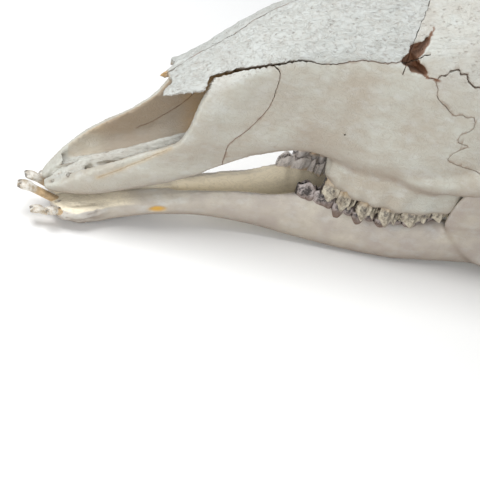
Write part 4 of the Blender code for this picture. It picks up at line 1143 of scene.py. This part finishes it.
# Teeth
def lobe(name, upper):
    """One lobe of a cheek tooth, a unit high, long and wide, its outer side towards -Y.

    The outline has a rib and two pillars on the flat side and is a smooth crescent on the other."""
    count = 40
    flat = -1 if upper else 1                     # the ribbed side: outside above, inside below
    point = 0.30 if upper else 0.20               # how far the cusps stand out
    cement = 0.12 if upper else 0.14              # height of the band of cement at the gum
    # height, girth and how far the cusps show, from the root to the bite
    levels = ((-0.45, 0.84, 0), (0.0, 0.93, 0), (0.3, 1.0, 0), (0.65, 1.0, 0), (0.88, 0.97, 0.4),
              (1.0, 0.90, 1))
    bm = bmesh.new()
    tint = bm.verts.layers.float.new("stain")
    gum = bm.verts.layers.float.new("gum")
    rows = []

    def outline(a, grow, cusp, t):
        u, v = math.cos(a), math.sin(a)
        x = math.copysign(abs(u) ** 0.75, u)
        y = math.copysign(abs(v) ** 0.8, v)
        if v * flat > 0:
            y *= 0.86 + 0.13 * math.cos(2 * math.pi * x) + 0.05 * abs(x)
        z = t + cusp * point * (abs(v) * math.cos(math.pi * x) + 0.15)
        return Vector((0.5 * x * grow, 0.5 * y * grow, z)), abs(x)

    for t, grow, cusp in levels:
        row = []
        for k in range(count):
            p, end = outline(2 * math.pi * k / count, grow, cusp, t)
            v = bm.verts.new(p)
            v[tint] = max(0.0, end - 0.80) * 3.0 + 0.25 * max(0.0, 0.2 - abs(t))
            if 0.2 < t < 0.8 and end < 0.45:
                v[tint] += 0.24                     # darker between the pillars
            v[gum] = 1 - min(max((t + 0.05) / cement, 0), 1)
            row.append(v)
        rows.append(row)
    for grow, sink, dark in ((0.78, 0.98, 0.1), (0.62, 0.90, 0.55), (0.42, 0.93, 0.35), (0.22, 0.72, 1.0)):
        row = []
        for k in range(count):
            p, _ = outline(2 * math.pi * k / count, grow * 0.92, 0.8 * grow, sink)
            v = bm.verts.new(p)
            v[tint] = dark
            row.append(v)
        rows.append(row)
    for a, b in zip(rows, rows[1:]):
        for k in range(count):
            bm.faces.new((a[k], a[(k + 1) % count], b[(k + 1) % count], b[k]))
    bm.faces.new(rows[0][::-1])
    pit = bm.verts.new((0, 0, 0.66))
    pit[tint] = 1
    for k in range(count):
        bm.faces.new((rows[-1][k], rows[-1][(k + 1) % count], pit))
    obj = solid(name, bm)
    if not upper:
        return obj
    obj.data.transform(Matrix.Diagonal((1, 1, -1, 1)))
    obj.data.flip_normals()
    return obj


def tooth_tree(lobe_obj, material):
    """Geometry Nodes: a lobe on every site, turned and sized by the site, each a little different."""
    tree = bpy.data.node_groups.new("Tooth row", 'GeometryNodeTree')
    face = tree.interface
    face.new_socket("Sites", in_out='INPUT', socket_type='NodeSocketGeometry')
    seed = face.new_socket("Seed", in_out='INPUT', socket_type='NodeSocketInt')
    vary = face.new_socket("Variation", in_out='INPUT', socket_type='NodeSocketFloat')
    face.new_socket("Teeth", in_out='OUTPUT', socket_type='NodeSocketGeometry')
    links = tree.links.new

    def node(kind, **inputs):
        n = tree.nodes.new(kind)
        for key, value in inputs.items():
            n.inputs[key].default_value = value
        return n

    enter, leave = node('NodeGroupInput'), node('NodeGroupOutput')
    shape = node('GeometryNodeObjectInfo', Object=lobe_obj)
    size, turn = (tree.nodes.new('GeometryNodeInputNamedAttribute') for _ in range(2))
    for n, key in ((size, "size"), (turn, "turn")):
        n.data_type = 'FLOAT_VECTOR'
        n.inputs["Name"].default_value = key
    wobble = tree.nodes.new('FunctionNodeRandomValue')
    wobble.data_type = 'FLOAT_VECTOR'
    wobble.inputs[0].default_value = (-1, -1, -1)
    wobble.inputs[1].default_value = (1, 1, 1)
    scaled, varied, tilt, turned = (tree.nodes.new('ShaderNodeVectorMath') for _ in range(4))
    scaled.operation, varied.operation, tilt.operation = 'SCALE', 'MULTIPLY_ADD', 'SCALE'
    turned.operation = 'ADD'
    tilt.inputs["Scale"].default_value = 0.08
    spread = tree.nodes.new('GeometryNodeInstanceOnPoints')
    real = tree.nodes.new('GeometryNodeRealizeInstances')
    paint = tree.nodes.new('GeometryNodeSetMaterial')
    paint.inputs["Material"].default_value = material
    links(enter.outputs["Seed"], wobble.inputs["Seed"])
    links(wobble.outputs[0], scaled.inputs[0])
    links(enter.outputs["Variation"], scaled.inputs["Scale"])
    links(scaled.outputs[0], varied.inputs[0])
    links(size.outputs["Attribute"], varied.inputs[1])
    links(size.outputs["Attribute"], varied.inputs[2])
    links(wobble.outputs[0], tilt.inputs[0])
    links(turn.outputs["Attribute"], turned.inputs[0])
    links(tilt.outputs[0], turned.inputs[1])
    links(enter.outputs["Sites"], spread.inputs["Points"])
    links(shape.outputs["Geometry"], spread.inputs["Instance"])
    links(turned.outputs[0], spread.inputs["Rotation"])
    links(varied.outputs[0], spread.inputs["Scale"])
    links(spread.outputs["Instances"], real.inputs["Geometry"])
    links(real.outputs["Geometry"], paint.inputs["Geometry"])
    links(paint.outputs["Geometry"], leave.inputs[0])
    return tree, seed.identifier, vary.identifier


def tooth_row(name, edges, widths, crowns, centre, base, upper, right, material):
    """A row of cheek teeth in the skull frame, one plain mesh."""
    slope = math.atan(sizes().bite_slope)
    sites, scales, turns = [], [], []
    for i, (a, b) in enumerate(zip(edges, edges[1:])):
        start = a
        for share in (UPPER_LOBES if upper else LOWER_LOBES)[i]:
            run = (b - a) * share
            x, start = start + run / 2, start + run
            minor = share < 0.4                           # a lesser lobe is lower and stands back
            y = centre((a + b) / 2, widths[i]) - (1.0 if minor else 0.0)
            girth = LESSER_LOBE if minor else 1.0
            sites.append((x, -y, base(x)))
            scales.append((run * LOBE_OVERLAP, widths[i] * girth, crowns[i] * girth))
            heading = math.atan2(centre(x + 5, widths[i]) - centre(x - 5, widths[i]), 10)
            turns.append((-slope * 0.5, 0, -heading))
    mesh = bpy.data.meshes.new(name)
    mesh.from_pydata(sites, [], [])
    for key, rows in (("size", scales), ("turn", turns)):
        mesh.attributes.new(key, 'FLOAT_VECTOR', 'POINT').data.foreach_set("vector", np.ravel(rows))
    row = bpy.data.objects.new(name, mesh)
    bpy.context.scene.collection.objects.link(row)
    shape = lobe(name + "_lobe", upper)
    tree, seed_id, vary_id = tooth_tree(shape, material)
    mod = row.modifiers.new("Tooth row", 'NODES')
    mod.node_group = tree
    mod[seed_id] = sizes().seed + len(name)
    mod[vary_id] = LOBE_VARIATION
    settle(row)
    drop([shape])
    bpy.data.node_groups.remove(tree)
    return flip_over(row) if right else row


def front_tooth(root, neck, tip, crown_half, thick, root_r):
    """Spade-shaped lower front tooth: a round root that widens to a flat, curved crown."""
    root, neck, tip = Vector(root), Vector(neck), Vector(tip)
    swell = neck.lerp(tip, 0.45) + Vector((0, 0, 1.4))
    broad = neck.lerp(tip, 0.8) + Vector((0, 0, 0.8))
    obj = rope("front_tooth", [root, neck, swell, broad, tip],
               (root_r, root_r * 0.95, crown_half * 0.86, crown_half, crown_half * 0.8),
               (root_r, root_r * 0.9, thick, thick * 0.7, 0.7), sides=22, squareness=2.4)
    co = read_points(obj.data)
    way = np.array(tip - neck)
    t = ((co - np.array(neck)) @ way) / (way @ way)
    store(obj.data, "stain", 0.16 * ramp(t, 0.35, 0.1) + 0.35 * ramp(np.abs(t - 0.95), 0.25, 0.0))
    store(obj.data, "gum", ramp(t, 0.12, -0.02))
    return obj


FRONT_TEETH = (   # side, root, neck, tip, half width of crown, half thickness, root radius
    (-1, (22, -7, -27), (-6, -6, -11.5), (-21.5, -4, -6.5), 6.2, 3.6, 3.6),
    (-1, (20, -18, -24), (1, -21, -22.5), (-12.5, -21, -20.5), 5.2, 2.8, 3.0),
    (-1, (24, -23, -22), (9, -26, -19.5), (-1, -29, -17.5), 5.0, 2.8, 2.8),
    (1, (22, 8, -25), (0, 9, -12), (-14.5, 9, -5.5), 6.0, 3.2, 3.4),
    (1, (24, 23, -22), (10, 27, -20), (0, 31, -18), 4.8, 2.6, 2.8),
)


# Finishes
def add(tree, kind, links=(), **settings):
    """Add a shader node, set its properties and sockets, and link it to others."""
    node = tree.nodes.new(kind)
    for key, value in settings.items():
        if hasattr(node, key):
            setattr(node, key, value)
        else:
            node.inputs[key].default_value = value
    for socket, source in links:
        tree.links.new(source, node.inputs[socket])
    return node


def rgba(value):
    return (*value, 1)


def blend(tree, factor, a, b):
    """Mix of two colours, each a socket or a plain colour."""
    node = tree.nodes.new('ShaderNodeMix')
    node.data_type = 'RGBA'
    for socket, item in ((0, factor), (6, a), (7, b)):
        if isinstance(item, bpy.types.NodeSocket):
            tree.links.new(item, node.inputs[socket])
        else:
            node.inputs[socket].default_value = item if socket == 0 else rgba(item)
    return node.outputs[2]


def shape_value(tree, source, low, high, out_low=0.0, out_high=1.0):
    """Rescale a value from low..high to out_low..out_high."""
    node = add(tree, 'ShaderNodeMapRange', [("Value", source)])
    node.inputs["From Min"].default_value = low
    node.inputs["From Max"].default_value = high
    node.inputs["To Min"].default_value = out_low
    node.inputs["To Max"].default_value = out_high
    return node.outputs["Result"]


def wash(tree, base, source, low, high, strength, tint):
    """A base colour with a tint laid over it, at full strength where source reaches high."""
    return blend(tree, shape_value(tree, source, low, high, 0, strength), base, tint)


def pattern(tree, at, size_mm, detail=3.0, stretch=(1, 1, 1)):
    """Noise whose bumps are about size_mm across on the real bone."""
    mapping = add(tree, 'ShaderNodeMapping', [("Vector", at)], Scale=stretch)
    noise = add(tree, 'ShaderNodeTexNoise', [("Vector", mapping.outputs[0])],
                Scale=1 / (size_mm * MM), Detail=detail, Roughness=0.6)
    return noise.outputs["Fac"]


def attribute(tree, name):
    return add(tree, 'ShaderNodeAttribute', attribute_name=name).outputs["Fac"]


def dry_bone(name, light, shade, roughness=0.62, streak_mm=9.0, bump=0.35, inner=None):
    """Cleaned and dried bone: matt, chalky where bleached and waxy where grease stayed in it.

    The eye gets soft patches tens of millimetres wide, streaks and worm-like lines along the grain,
    painted shade on what looks down and in hollows, brown seams and, where the bone is rough, small pits.
    The tan layer is partly painted shade inside the nose, and the cream layer is partly painted light on the
    jaw."""
    c = colours()
    mat = bpy.data.materials.new(name)
    mat.use_nodes = True
    tree = mat.node_tree
    shader = tree.nodes["Principled BSDF"]
    at = add(tree, 'ShaderNodeTexCoord').outputs["Object"]
    rough = attribute(tree, "rough")
    base = wash(tree, light, pattern(tree, at, 44, 3), 0.40, 0.66, 0.75, shade)
    base = wash(tree, base, pattern(tree, at, streak_mm, 4, (0.2, 1, 1)), 0.44, 0.68, 0.5, shade)
    base = wash(tree, base, pattern(tree, at, 6, 4), 0.5, 0.72, 0.35, c.warm)
    base = wash(tree, base, pattern(tree, at, 8, 4, (0.5, 1, 1)), 0.50, 0.75, 0.40, c.chalk)
    base = wash(tree, base, rough, 0, 1, 0.35, c.chalk)
    # tan inside the nose, partly painted shade; on the jaw a cream that is partly painted light
    base = blend(tree, attribute(tree, "tan"), base, inner or c.tan)
    # painted shade: faces that look down, and the airway walls, are darkened with the underside colour
    base = wash(tree, base, attribute(tree, "under"), 0, 1, 0.74, c.under)
    # painted shade: hollows below the softened surface are darkened brown
    base = wash(tree, base, attribute(tree, "hollow"), 0.12, 1.1, 0.55, c.brown)
    mapping = add(tree, 'ShaderNodeMapping', [("Vector", at)], Scale=(0.45, 1, 1)).outputs[0]
    wander = add(tree, 'ShaderNodeTexNoise', [("Vector", mapping)], Scale=1 / (5.2 * MM), Detail=3.0,
                 Roughness=0.55, Distortion=1.3)
    middle = add(tree, 'ShaderNodeMath', [(0, wander.outputs["Fac"])], operation='SUBTRACT')
    middle.inputs[1].default_value = 0.5
    off_line = add(tree, 'ShaderNodeMath', [(0, middle.outputs[0])], operation='ABSOLUTE').outputs[0]
    worms = shape_value(tree, off_line, 0.0, 0.05, 1, 0)
    base = wash(tree, base, worms, 0, 1, 0.22, c.warm)
    pits = add(tree, 'ShaderNodeTexVoronoi', [("Vector", mapping)], Scale=1 / (3.0 * MM))
    holes = shape_value(tree, pits.outputs["Distance"], 0.30, 0.10)
    pitted = add(tree, 'ShaderNodeMath', [(0, holes), (1, rough)], operation='MULTIPLY').outputs[0]
    base = wash(tree, base, pitted, 0, 1, 0.20, c.brown)
    base = blend(tree, attribute(tree, "ochre"), base, c.ochre)
    base = wash(tree, base, attribute(tree, "seam"), 0.10, 0.60, 0.85, c.brown)
    base = wash(tree, base, attribute(tree, "seam"), 0.70, 1.0, 0.45, c.dark)
    tree.links.new(base, shader.inputs["Base Color"])
    shader.inputs["Roughness"].default_value = roughness
    shader.inputs["IOR"].default_value = 1.5
    shader.inputs["Specular IOR Level"].default_value = 0.3
    # pores of real bone are about 0.3 mm wide and wouldn't show, so the grain is drawn at 1.8 mm
    grain = pattern(tree, at, 1.8, 3, (0.4, 1, 1))
    fine = add(tree, 'ShaderNodeBump', [("Height", grain)], Strength=bump, Distance=0.6 * MM)
    lines = add(tree, 'ShaderNodeBump', [("Height", worms), ("Normal", fine.outputs[0])],
                Strength=bump, Distance=-0.6 * MM)
    furrows = shape_value(tree, pattern(tree, at, 4.5, 4, (0.3, 1, 1)), 0.3, 0.7, 0, 1.3)
    height = add(tree, 'ShaderNodeMath', [(0, pitted), (1, furrows)], operation='SUBTRACT')
    deep = add(tree, 'ShaderNodeMath', [(0, height.outputs[0]), (1, rough)], operation='MULTIPLY')
    coarse = add(tree, 'ShaderNodeBump', [("Height", deep.outputs[0]), ("Normal", lines.outputs[0])],
                 Strength=0.6, Distance=-1.0 * MM)
    tree.links.new(coarse.outputs[0], shader.inputs["Normal"])
    return mat


def tooth_enamel(name, light, shade, cement, soot=1.0, grime=0.12):
    """Enamel over dentine: hard and a little glossy, with dull cement at the gum.

    soot is how dark the stain in the folds is, grime how dark the specks are."""
    stain = colours().stain
    mat = bpy.data.materials.new(name)
    mat.use_nodes = True
    tree = mat.node_tree
    shader = tree.nodes["Principled BSDF"]
    at = add(tree, 'ShaderNodeTexCoord').outputs["Object"]
    base = wash(tree, light, pattern(tree, at, 5, 4), 0.40, 0.62, 1, shade)
    base = wash(tree, base, pattern(tree, at, 3.4, 3), 0.54, 0.64, grime, stain)
    base = blend(tree, attribute(tree, "gum"), base, cement)
    uneven = shape_value(tree, pattern(tree, at, 2.6, 3), 0.36, 0.62, 0.25 * soot, 1.6 * soot)
    blotch = add(tree, 'ShaderNodeMath', [(0, attribute(tree, "stain")), (1, uneven)], operation='MULTIPLY')
    base = wash(tree, base, blotch.outputs[0], 0.12, 0.62, 1, stain)
    tree.links.new(base, shader.inputs["Base Color"])
    shader.inputs["Roughness"].default_value = 0.38
    shader.inputs["IOR"].default_value = 1.6
    # growth lines of real enamel are about 0.2 mm apart and wouldn't show, so they are drawn at 2 mm
    ribs = add(tree, 'ShaderNodeBump', [("Height", pattern(tree, at, 2.0, 2, (1, 1, 0.35)))],
               Strength=0.5, Distance=0.5 * MM)
    tree.links.new(ribs.outputs[0], shader.inputs["Normal"])
    return mat


# Placing
def skull_to_row():
    """Matrix from the skull frame to the row frame: tipped to stand level, its box over the origin."""
    (fx, fz), (rx, rz) = JAW_REST_FRONT, JAW_REST_REAR
    tip = Matrix.Rotation(math.atan2(rz - fz, rx - fx), 4, 'Y')
    floor = (tip @ Vector((fx, 0, fz))).z + REST_SHAVE
    shift = Matrix.Translation((CAD_BOX[0][0] / MM + SNOUT_REACH, 0, -floor))
    return Matrix.Scale(MM, 4) @ shift @ tip


def finish_piece(obj, name, node, material):
    """Name a piece, move it to the row frame, shade it and hand it to the frame."""
    obj.name = name
    obj.data.name = name
    obj.data.transform(skull_to_row())
    co = read_points(obj.data)
    co[:, 2] = np.maximum(co[:, 2], 0)              # the flats it rests on
    obj.data.vertices.foreach_set("co", co.ravel())
    obj.data.materials.clear()
    obj.data.materials.append(material)
    obj.data.polygons.foreach_set("use_smooth", [True] * len(obj.data.polygons))
    obj.data.set_sharp_from_angle(angle=SHARP_EDGE)
    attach(obj, "root")
    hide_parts(node)


# Operators
class SKULL_OT_upper(bpy.types.Operator):
    """Cranium, premaxillae, nasals and ossicones with their open seams"""
    bl_idname = "skull.upper"
    bl_label = "Upper skull"

    def execute(self, context):
        c = colours()
        whole, airway = build_upper()
        seams, faint, furrow = engrave(whole)
        bones = name_bones(whole, seams)
        if set(bones) != set(UPPER_BONES):
            raise RuntimeError("the upper skull parted into " + ", ".join(sorted(bones)))
        # smooth and bleached in front, chalky and rough on the nasals, coarse and browner on the ossicones
        finishes = {"cranium": dry_bone("weathered_skull_bone", c.pale, c.warm, 0.62, 9, 0.4),
                    "premaxilla": dry_bone("bleached_snout_bone", c.pale, srgb("#ACA598"), 0.58, 12, 0.35),
                    "nasal": dry_bone("rough_nasal_bone", c.cool, srgb("#A5A49D"), 0.72, 5, 0.6),
                    "ossicone": dry_bone("ossicone_bone", c.horn, srgb("#978A76"), 0.75, 7, 0.8)}
        for name, relief in (("nasal", nasal_relief), ("premaxilla", premaxilla_relief)):
            for side in ("left", "right"):
                carve(refine(bones[name + "_" + side]), relief)
        skins = {name: self.skin(bone.data) for name, bone in bones.items()}
        for name, bone in bones.items():
            mesh = bone.data
            co, no = read_points(mesh), read_normals(mesh)
            others = [skin for other, skin in skins.items() if other != name]
            inner = self.inside_nose(co, airway)
            before_pocket = co[:, 0] < POCKET_FRONT
            # the brown round the snout tip's pits is painted shade; the rest is seams, the pocket and where
            # bones touch
            seam = np.maximum.reduce((nearness(co, seams, 1.0), 0.5 * nearness(co, faint, 0.9),
                                      0.5 * touching(co, others, 0.8) * before_pocket,
                                      0.6 * self.pocket(co, no), 0.62 * nearness(co, TIP_PIT_SHADE, 2.8)))
            ridge = premaxilla_ridge(co)
            # painted shade: how deep each corner lies in a hollow, for darkening it
            store(mesh, "hollow", hollowness(mesh))
            store(mesh, "rough", np.maximum(np.maximum(rough_nose(co, no), ramp(co[:, 2], 222, 236) * 0.8),
                                            0.7 * ridge * ramp(no[:, 2], 0.1, 0.4)))
            store(mesh, "seam", seam * (1 - 0.9 * ridge * (np.abs(co[:, 1]) < 5)))
            # tan on the airway walls, deepened further back as painted shade
            store(mesh, "tan", np.maximum(self.inner_tan(co, inner), self.nasal_point(co)))
            store(mesh, "ochre", 0.22 * nearness(co, furrow, 2.2))
            # painted shade: the airway walls behind the ridge and faces that look down take the underside
            # colour
            shaded = inner * (1 - ridge) * ramp(co[:, 0], 36, 60)
            shaded *= 0.3 + 0.35 * ramp(co[:, 0], 130, 108)
            store(mesh, "under", np.maximum(ramp(-no[:, 2], -0.3, 0.7), shaded))
            kind = name.split("_")[0]
            finish_piece(bone, name + "_bone", name, finishes[kind])
        return {'FINISHED'}

    @staticmethod
    def skin(mesh):
        """Search tree of a bone's surface, with the corners of its box."""
        co = read_points(mesh)
        tree = BVHTree.FromPolygons(co.tolist(), [p.vertices[:] for p in mesh.polygons])
        return tree, co.min(axis=0), co.max(axis=0)

    @staticmethod
    def inside_nose(co, airway):
        """1 on the walls of the airway."""
        out = np.zeros(len(co))
        for i in np.flatnonzero((co[:, 0] > 20) & (co[:, 0] < 330)):
            gap = airway.find_nearest(Vector(co[i]), 1.6)[3]
            out[i] = gap is not None
        return out

    @staticmethod
    def inner_tan(co, inner):
        """Tan on the walls of the airway, grey below its seam; the browning further back is painted shade."""
        x, y, z = co.T
        above_seam = ramp(z - np.interp(x, *zip(*INNER_SEAM)), -6, 6)
        on_ridge = ramp(np.abs(y), 15, 12) * (z < along_track(ridge_z, x) + 6)
        return inner * (1 - on_ridge) * (0.2 + 0.25 * above_seam + 0.55 * ramp(x, 108, 128))

    @staticmethod
    def pocket(co, no):
        """Brown on the floor and the walls of the ragged opening before the lacrimal."""
        x, y, z = co.T
        rim = [Vector((u, 0, v)) for u, v in GAP_OVER_CHEEK + GAP_OVER_CHEEK[:1]]
        outer = np.abs(y) > POCKET_FLOOR - 2
        steep = np.maximum(ramp(np.abs(no[:, 1]), 0.55, 0.35),
                           ramp(np.abs(y), POCKET_FLOOR + 2, POCKET_FLOOR + 1))
        walls = nearness(co * (1, 0, 1), even(rim, 0.5), 1.2) * outer * steep
        within = np.zeros(len(co), bool)
        for p, q in zip(rim, rim[1:]):                       # even or odd count of the rim's edges above
            across = (p.x > x) != (q.x > x)
            rim_z = p.z + (q.z - p.z) * (x - p.x) / ((q.x - p.x) or 1)
            within ^= across & (z < rim_z)
        return np.maximum(walls, within * outer)

    @staticmethod
    def nasal_point(co):
        """Tan on the thin middle point of the nasals."""
        return ramp(co[:, 0], 91, 88) * (np.abs(co[:, 1]) < 6) * (co[:, 2] > 86)


class SKULL_OT_lower(bpy.types.Operator):
    """Both halves of the lower jaw"""
    bl_idname = "skull.lower"
    bl_label = "Lower jaw"

    def execute(self, context):
        c = colours()
        finish = dry_bone("greasy_jaw_bone", c.jaw, c.lilac, 0.52, 14, 0.25, c.cream)
        left = build_jaw()
        right = other_side(left)
        for jaw, name in ((left, "mandible_left"), (right, "mandible_right")):
            mesh = jaw.data
            co, no = read_points(mesh), read_normals(mesh)
            inward = ramp(-no[:, 1] * np.sign(co[:, 1]), 0.1, 0.6)
            # painted light: the chin's upward faces are lightened with the cream colour
            chin = ramp(no[:, 2], 0.4, 0.7) * ramp(co[:, 0], 84, 62)
            # painted shade in hollows, weakened on the inner side to keep it light
            store(mesh, "hollow", hollowness(mesh) * (1 - 0.8 * inward))
            store(mesh, "rough", 0.7 * ramp(co[:, 0], 60, 25))
            store(mesh, "seam", np.zeros(len(co)))
            # cream on the inner side is partly the bone's colour and partly painted light; on the chin it is
            # painted light
            store(mesh, "tan", np.maximum(0.9 * inward * ramp(co[:, 0], 60, 110), 0.85 * chin))
            store(mesh, "ochre", mental_spot(co))
            # painted shade on faces that look down, weaker on the inner side so that it stays light
            store(mesh, "under", ramp(-no[:, 2], -0.35, 0.7) * (1 - 0.85 * inward))
            finish_piece(jaw, name + "_bone", name, finish)
        return {'FINISHED'}


class SKULL_OT_teeth(bpy.types.Operator):
    """Cheek teeth of both jaws and the front teeth of the lower jaw"""
    bl_idname = "skull.teeth"
    bl_label = "Teeth"

    def execute(self, context):
        c = colours()
        upper = tooth_enamel("upper_tooth_enamel", c.enamel, srgb("#857A6A"), srgb("#937B5A"), 1.3, 0.45)
        lower = tooth_enamel("stained_lower_tooth_enamel", srgb("#A89D99"), srgb("#6A5D55"),
                             srgb("#5E4636"), 1.9, 0.85)
        # painted light: a paler copy of the enamel for the right teeth, standing in for light on them
        lit_copy_enamel = tooth_enamel("pale_tooth_enamel", srgb("#EAE4E0"), srgb("#CEC5BE"), c.gum, 0.7)
        front = tooth_enamel("front_tooth_enamel", srgb("#D8D4CB"), srgb("#A89880"), srgb("#BFA47E"))
        rows = (("upper", UPPER_EDGES, UPPER_WIDTHS, UPPER_CROWNS,
                 lambda x, w: gum_y(x) - w / 2 - 2.0, gum_z),
                ("lower", LOWER_EDGES, LOWER_WIDTHS, LOWER_CROWNS,
                 lambda x, w: lower_gum_y(x), lower_gum_z))
        for where, edges, widths, crowns, centre, base in rows:
            for side in ("left", "right"):
                # the right teeth take the paler enamel copy, which is painted light
                enamel = lit_copy_enamel if side == "right" else upper if where == "upper" else lower
                row = tooth_row(where + "_teeth_" + side, edges, widths, crowns, centre, base,
                                where == "upper", side == "right", enamel)
                node = "cranium" if where == "upper" else "mandible_" + side
                finish_piece(row, where + "_cheek_teeth_" + side, node, enamel)
        for side, sign in (("left", -1), ("right", 1)):
            teeth = gather("front_teeth", [front_tooth(*t[1:]) for t in FRONT_TEETH if t[0] == sign])
            finish_piece(teeth, "front_teeth_" + side, "mandible_" + side, front)
        return {'FINISHED'}


class SKULL_OT_stage(bpy.types.Operator):
    """Pale floor, soft studio light and the camera"""
    bl_idname = "skull.stage"
    bl_label = "Stage"

    # where the camera stands in the skull frame, in millimetres, and how it is turned
    eye = (-81.0, -524.0, 328.0)
    azimuth, elevation, roll = -27.6, 34.0, 15.6
    lens = 54.2

    def execute(self, context):
        self.camera(context.scene)
        self.floor()
        self.lights(context.scene)
        return {'FINISHED'}

    def camera(self, scene):
        """Camera at the photo's viewing angle."""
        a, e, r = (math.radians(v) for v in (self.azimuth, self.elevation, self.roll))
        back = Vector((math.sin(a) * math.cos(e), -math.cos(a) * math.cos(e), math.sin(e)))
        side = Vector((0, 0, 1)).cross(back).normalized()
        up = back.cross(side)
        right = side * math.cos(r) + up * math.sin(r)
        top = up * math.cos(r) - side * math.sin(r)
        turn = Matrix((right, top, back)).transposed()
        cam = bpy.data.objects.new("camera", bpy.data.cameras.new("camera"))
        cam.data.lens = self.lens
        cam.data.sensor_width = 36.0
        cam.data.clip_start = 0.01
        place = skull_to_row()
        turn = (place.to_3x3().normalized() @ turn).to_4x4()
        cam.matrix_world = Matrix.Translation(place @ Vector(self.eye)) @ turn
        scene.collection.objects.link(cam)
        scene.camera = cam

    def floor(self):
        """Wide pale floor just under the skull."""
        bm = bmesh.new()
        bmesh.ops.create_grid(bm, x_segments=1, y_segments=1, size=6.0)
        ground = solid("floor", bm)
        ground.location.z = -0.4 * MM
        mat = bpy.data.materials.new("pale_studio_floor")
        mat.use_nodes = True
        tree = mat.node_tree
        tree.nodes["Principled BSDF"].inputs["Base Color"].default_value = rgba(srgb("#F4F4F3"))
        tree.nodes["Principled BSDF"].inputs["Roughness"].default_value = 0.9
        ground.data.materials.append(mat)

    def lights(self, scene):
        """Pale surroundings and four large soft lamps."""
        world = bpy.data.worlds.new("studio")
        scene.world = world
        world.use_nodes = True
        world.node_tree.nodes["Background"].inputs["Color"].default_value = rgba(srgb("#F3F6FA"))
        world.node_tree.nodes["Background"].inputs["Strength"].default_value = 0.42
        for name, place, aim, size, power in (
                ("key", (-0.8, 0.1, 1.8), (-0.1, 0, 0.15), 1.1, 27),
                ("fill", (-0.6, -1.6, 0.62), (-0.1, 0, 0.12), 1.0, 9.5),
                ("front", (-0.95, -0.8, 0.36), (-0.15, 0, 0.05), 0.5, 3.8),
                ("back", (0.3, 1.5, 1.2), (0, 0, 0.2), 1.4, 7)):
            lamp = bpy.data.objects.new(name, bpy.data.lights.new(name, 'AREA'))
            lamp.data.size = size
            lamp.data.energy = power
            lamp.location = place
            lamp.rotation_euler = (Vector(aim) - Vector(place)).to_track_quat('-Z', 'Y').to_euler()
            scene.collection.objects.link(lamp)
        scene.view_settings.view_transform = 'Standard'


class SKULL_PT_panel(bpy.types.Panel):
    """Sizes, colours and the pieces of the skull"""
    bl_idname = "SKULL_PT_panel"
    bl_label = "Giraffe skull"
    bl_space_type = 'VIEW_3D'
    bl_region_type = 'UI'
    bl_category = "Skull"

    def draw(self, context):
        for group in (context.scene.skull_sizes, context.scene.skull_colours):
            box = self.layout.box()
            for key in group.__annotations__:
                box.prop(group, key)
        for operator in OPERATORS:
            self.layout.operator(operator.bl_idname)


OPERATORS = (SKULL_OT_stage, SKULL_OT_upper, SKULL_OT_lower, SKULL_OT_teeth)
CLASSES = (SkullSizes, SkullColours) + OPERATORS + (SKULL_PT_panel,)


def register():
    for cls in CLASSES:
        bpy.utils.register_class(cls)
    bpy.types.Scene.skull_sizes = PointerProperty(type=SkullSizes)
    bpy.types.Scene.skull_colours = PointerProperty(type=SkullColours)


def unregister():
    del bpy.types.Scene.skull_colours
    del bpy.types.Scene.skull_sizes
    for cls in reversed(CLASSES):
        bpy.utils.unregister_class(cls)


def main():
    register()
    bpy.ops.skull.stage()
    bpy.ops.skull.upper()
    bpy.ops.skull.lower()
    bpy.ops.skull.teeth()


if __name__ == "__main__":
    main()
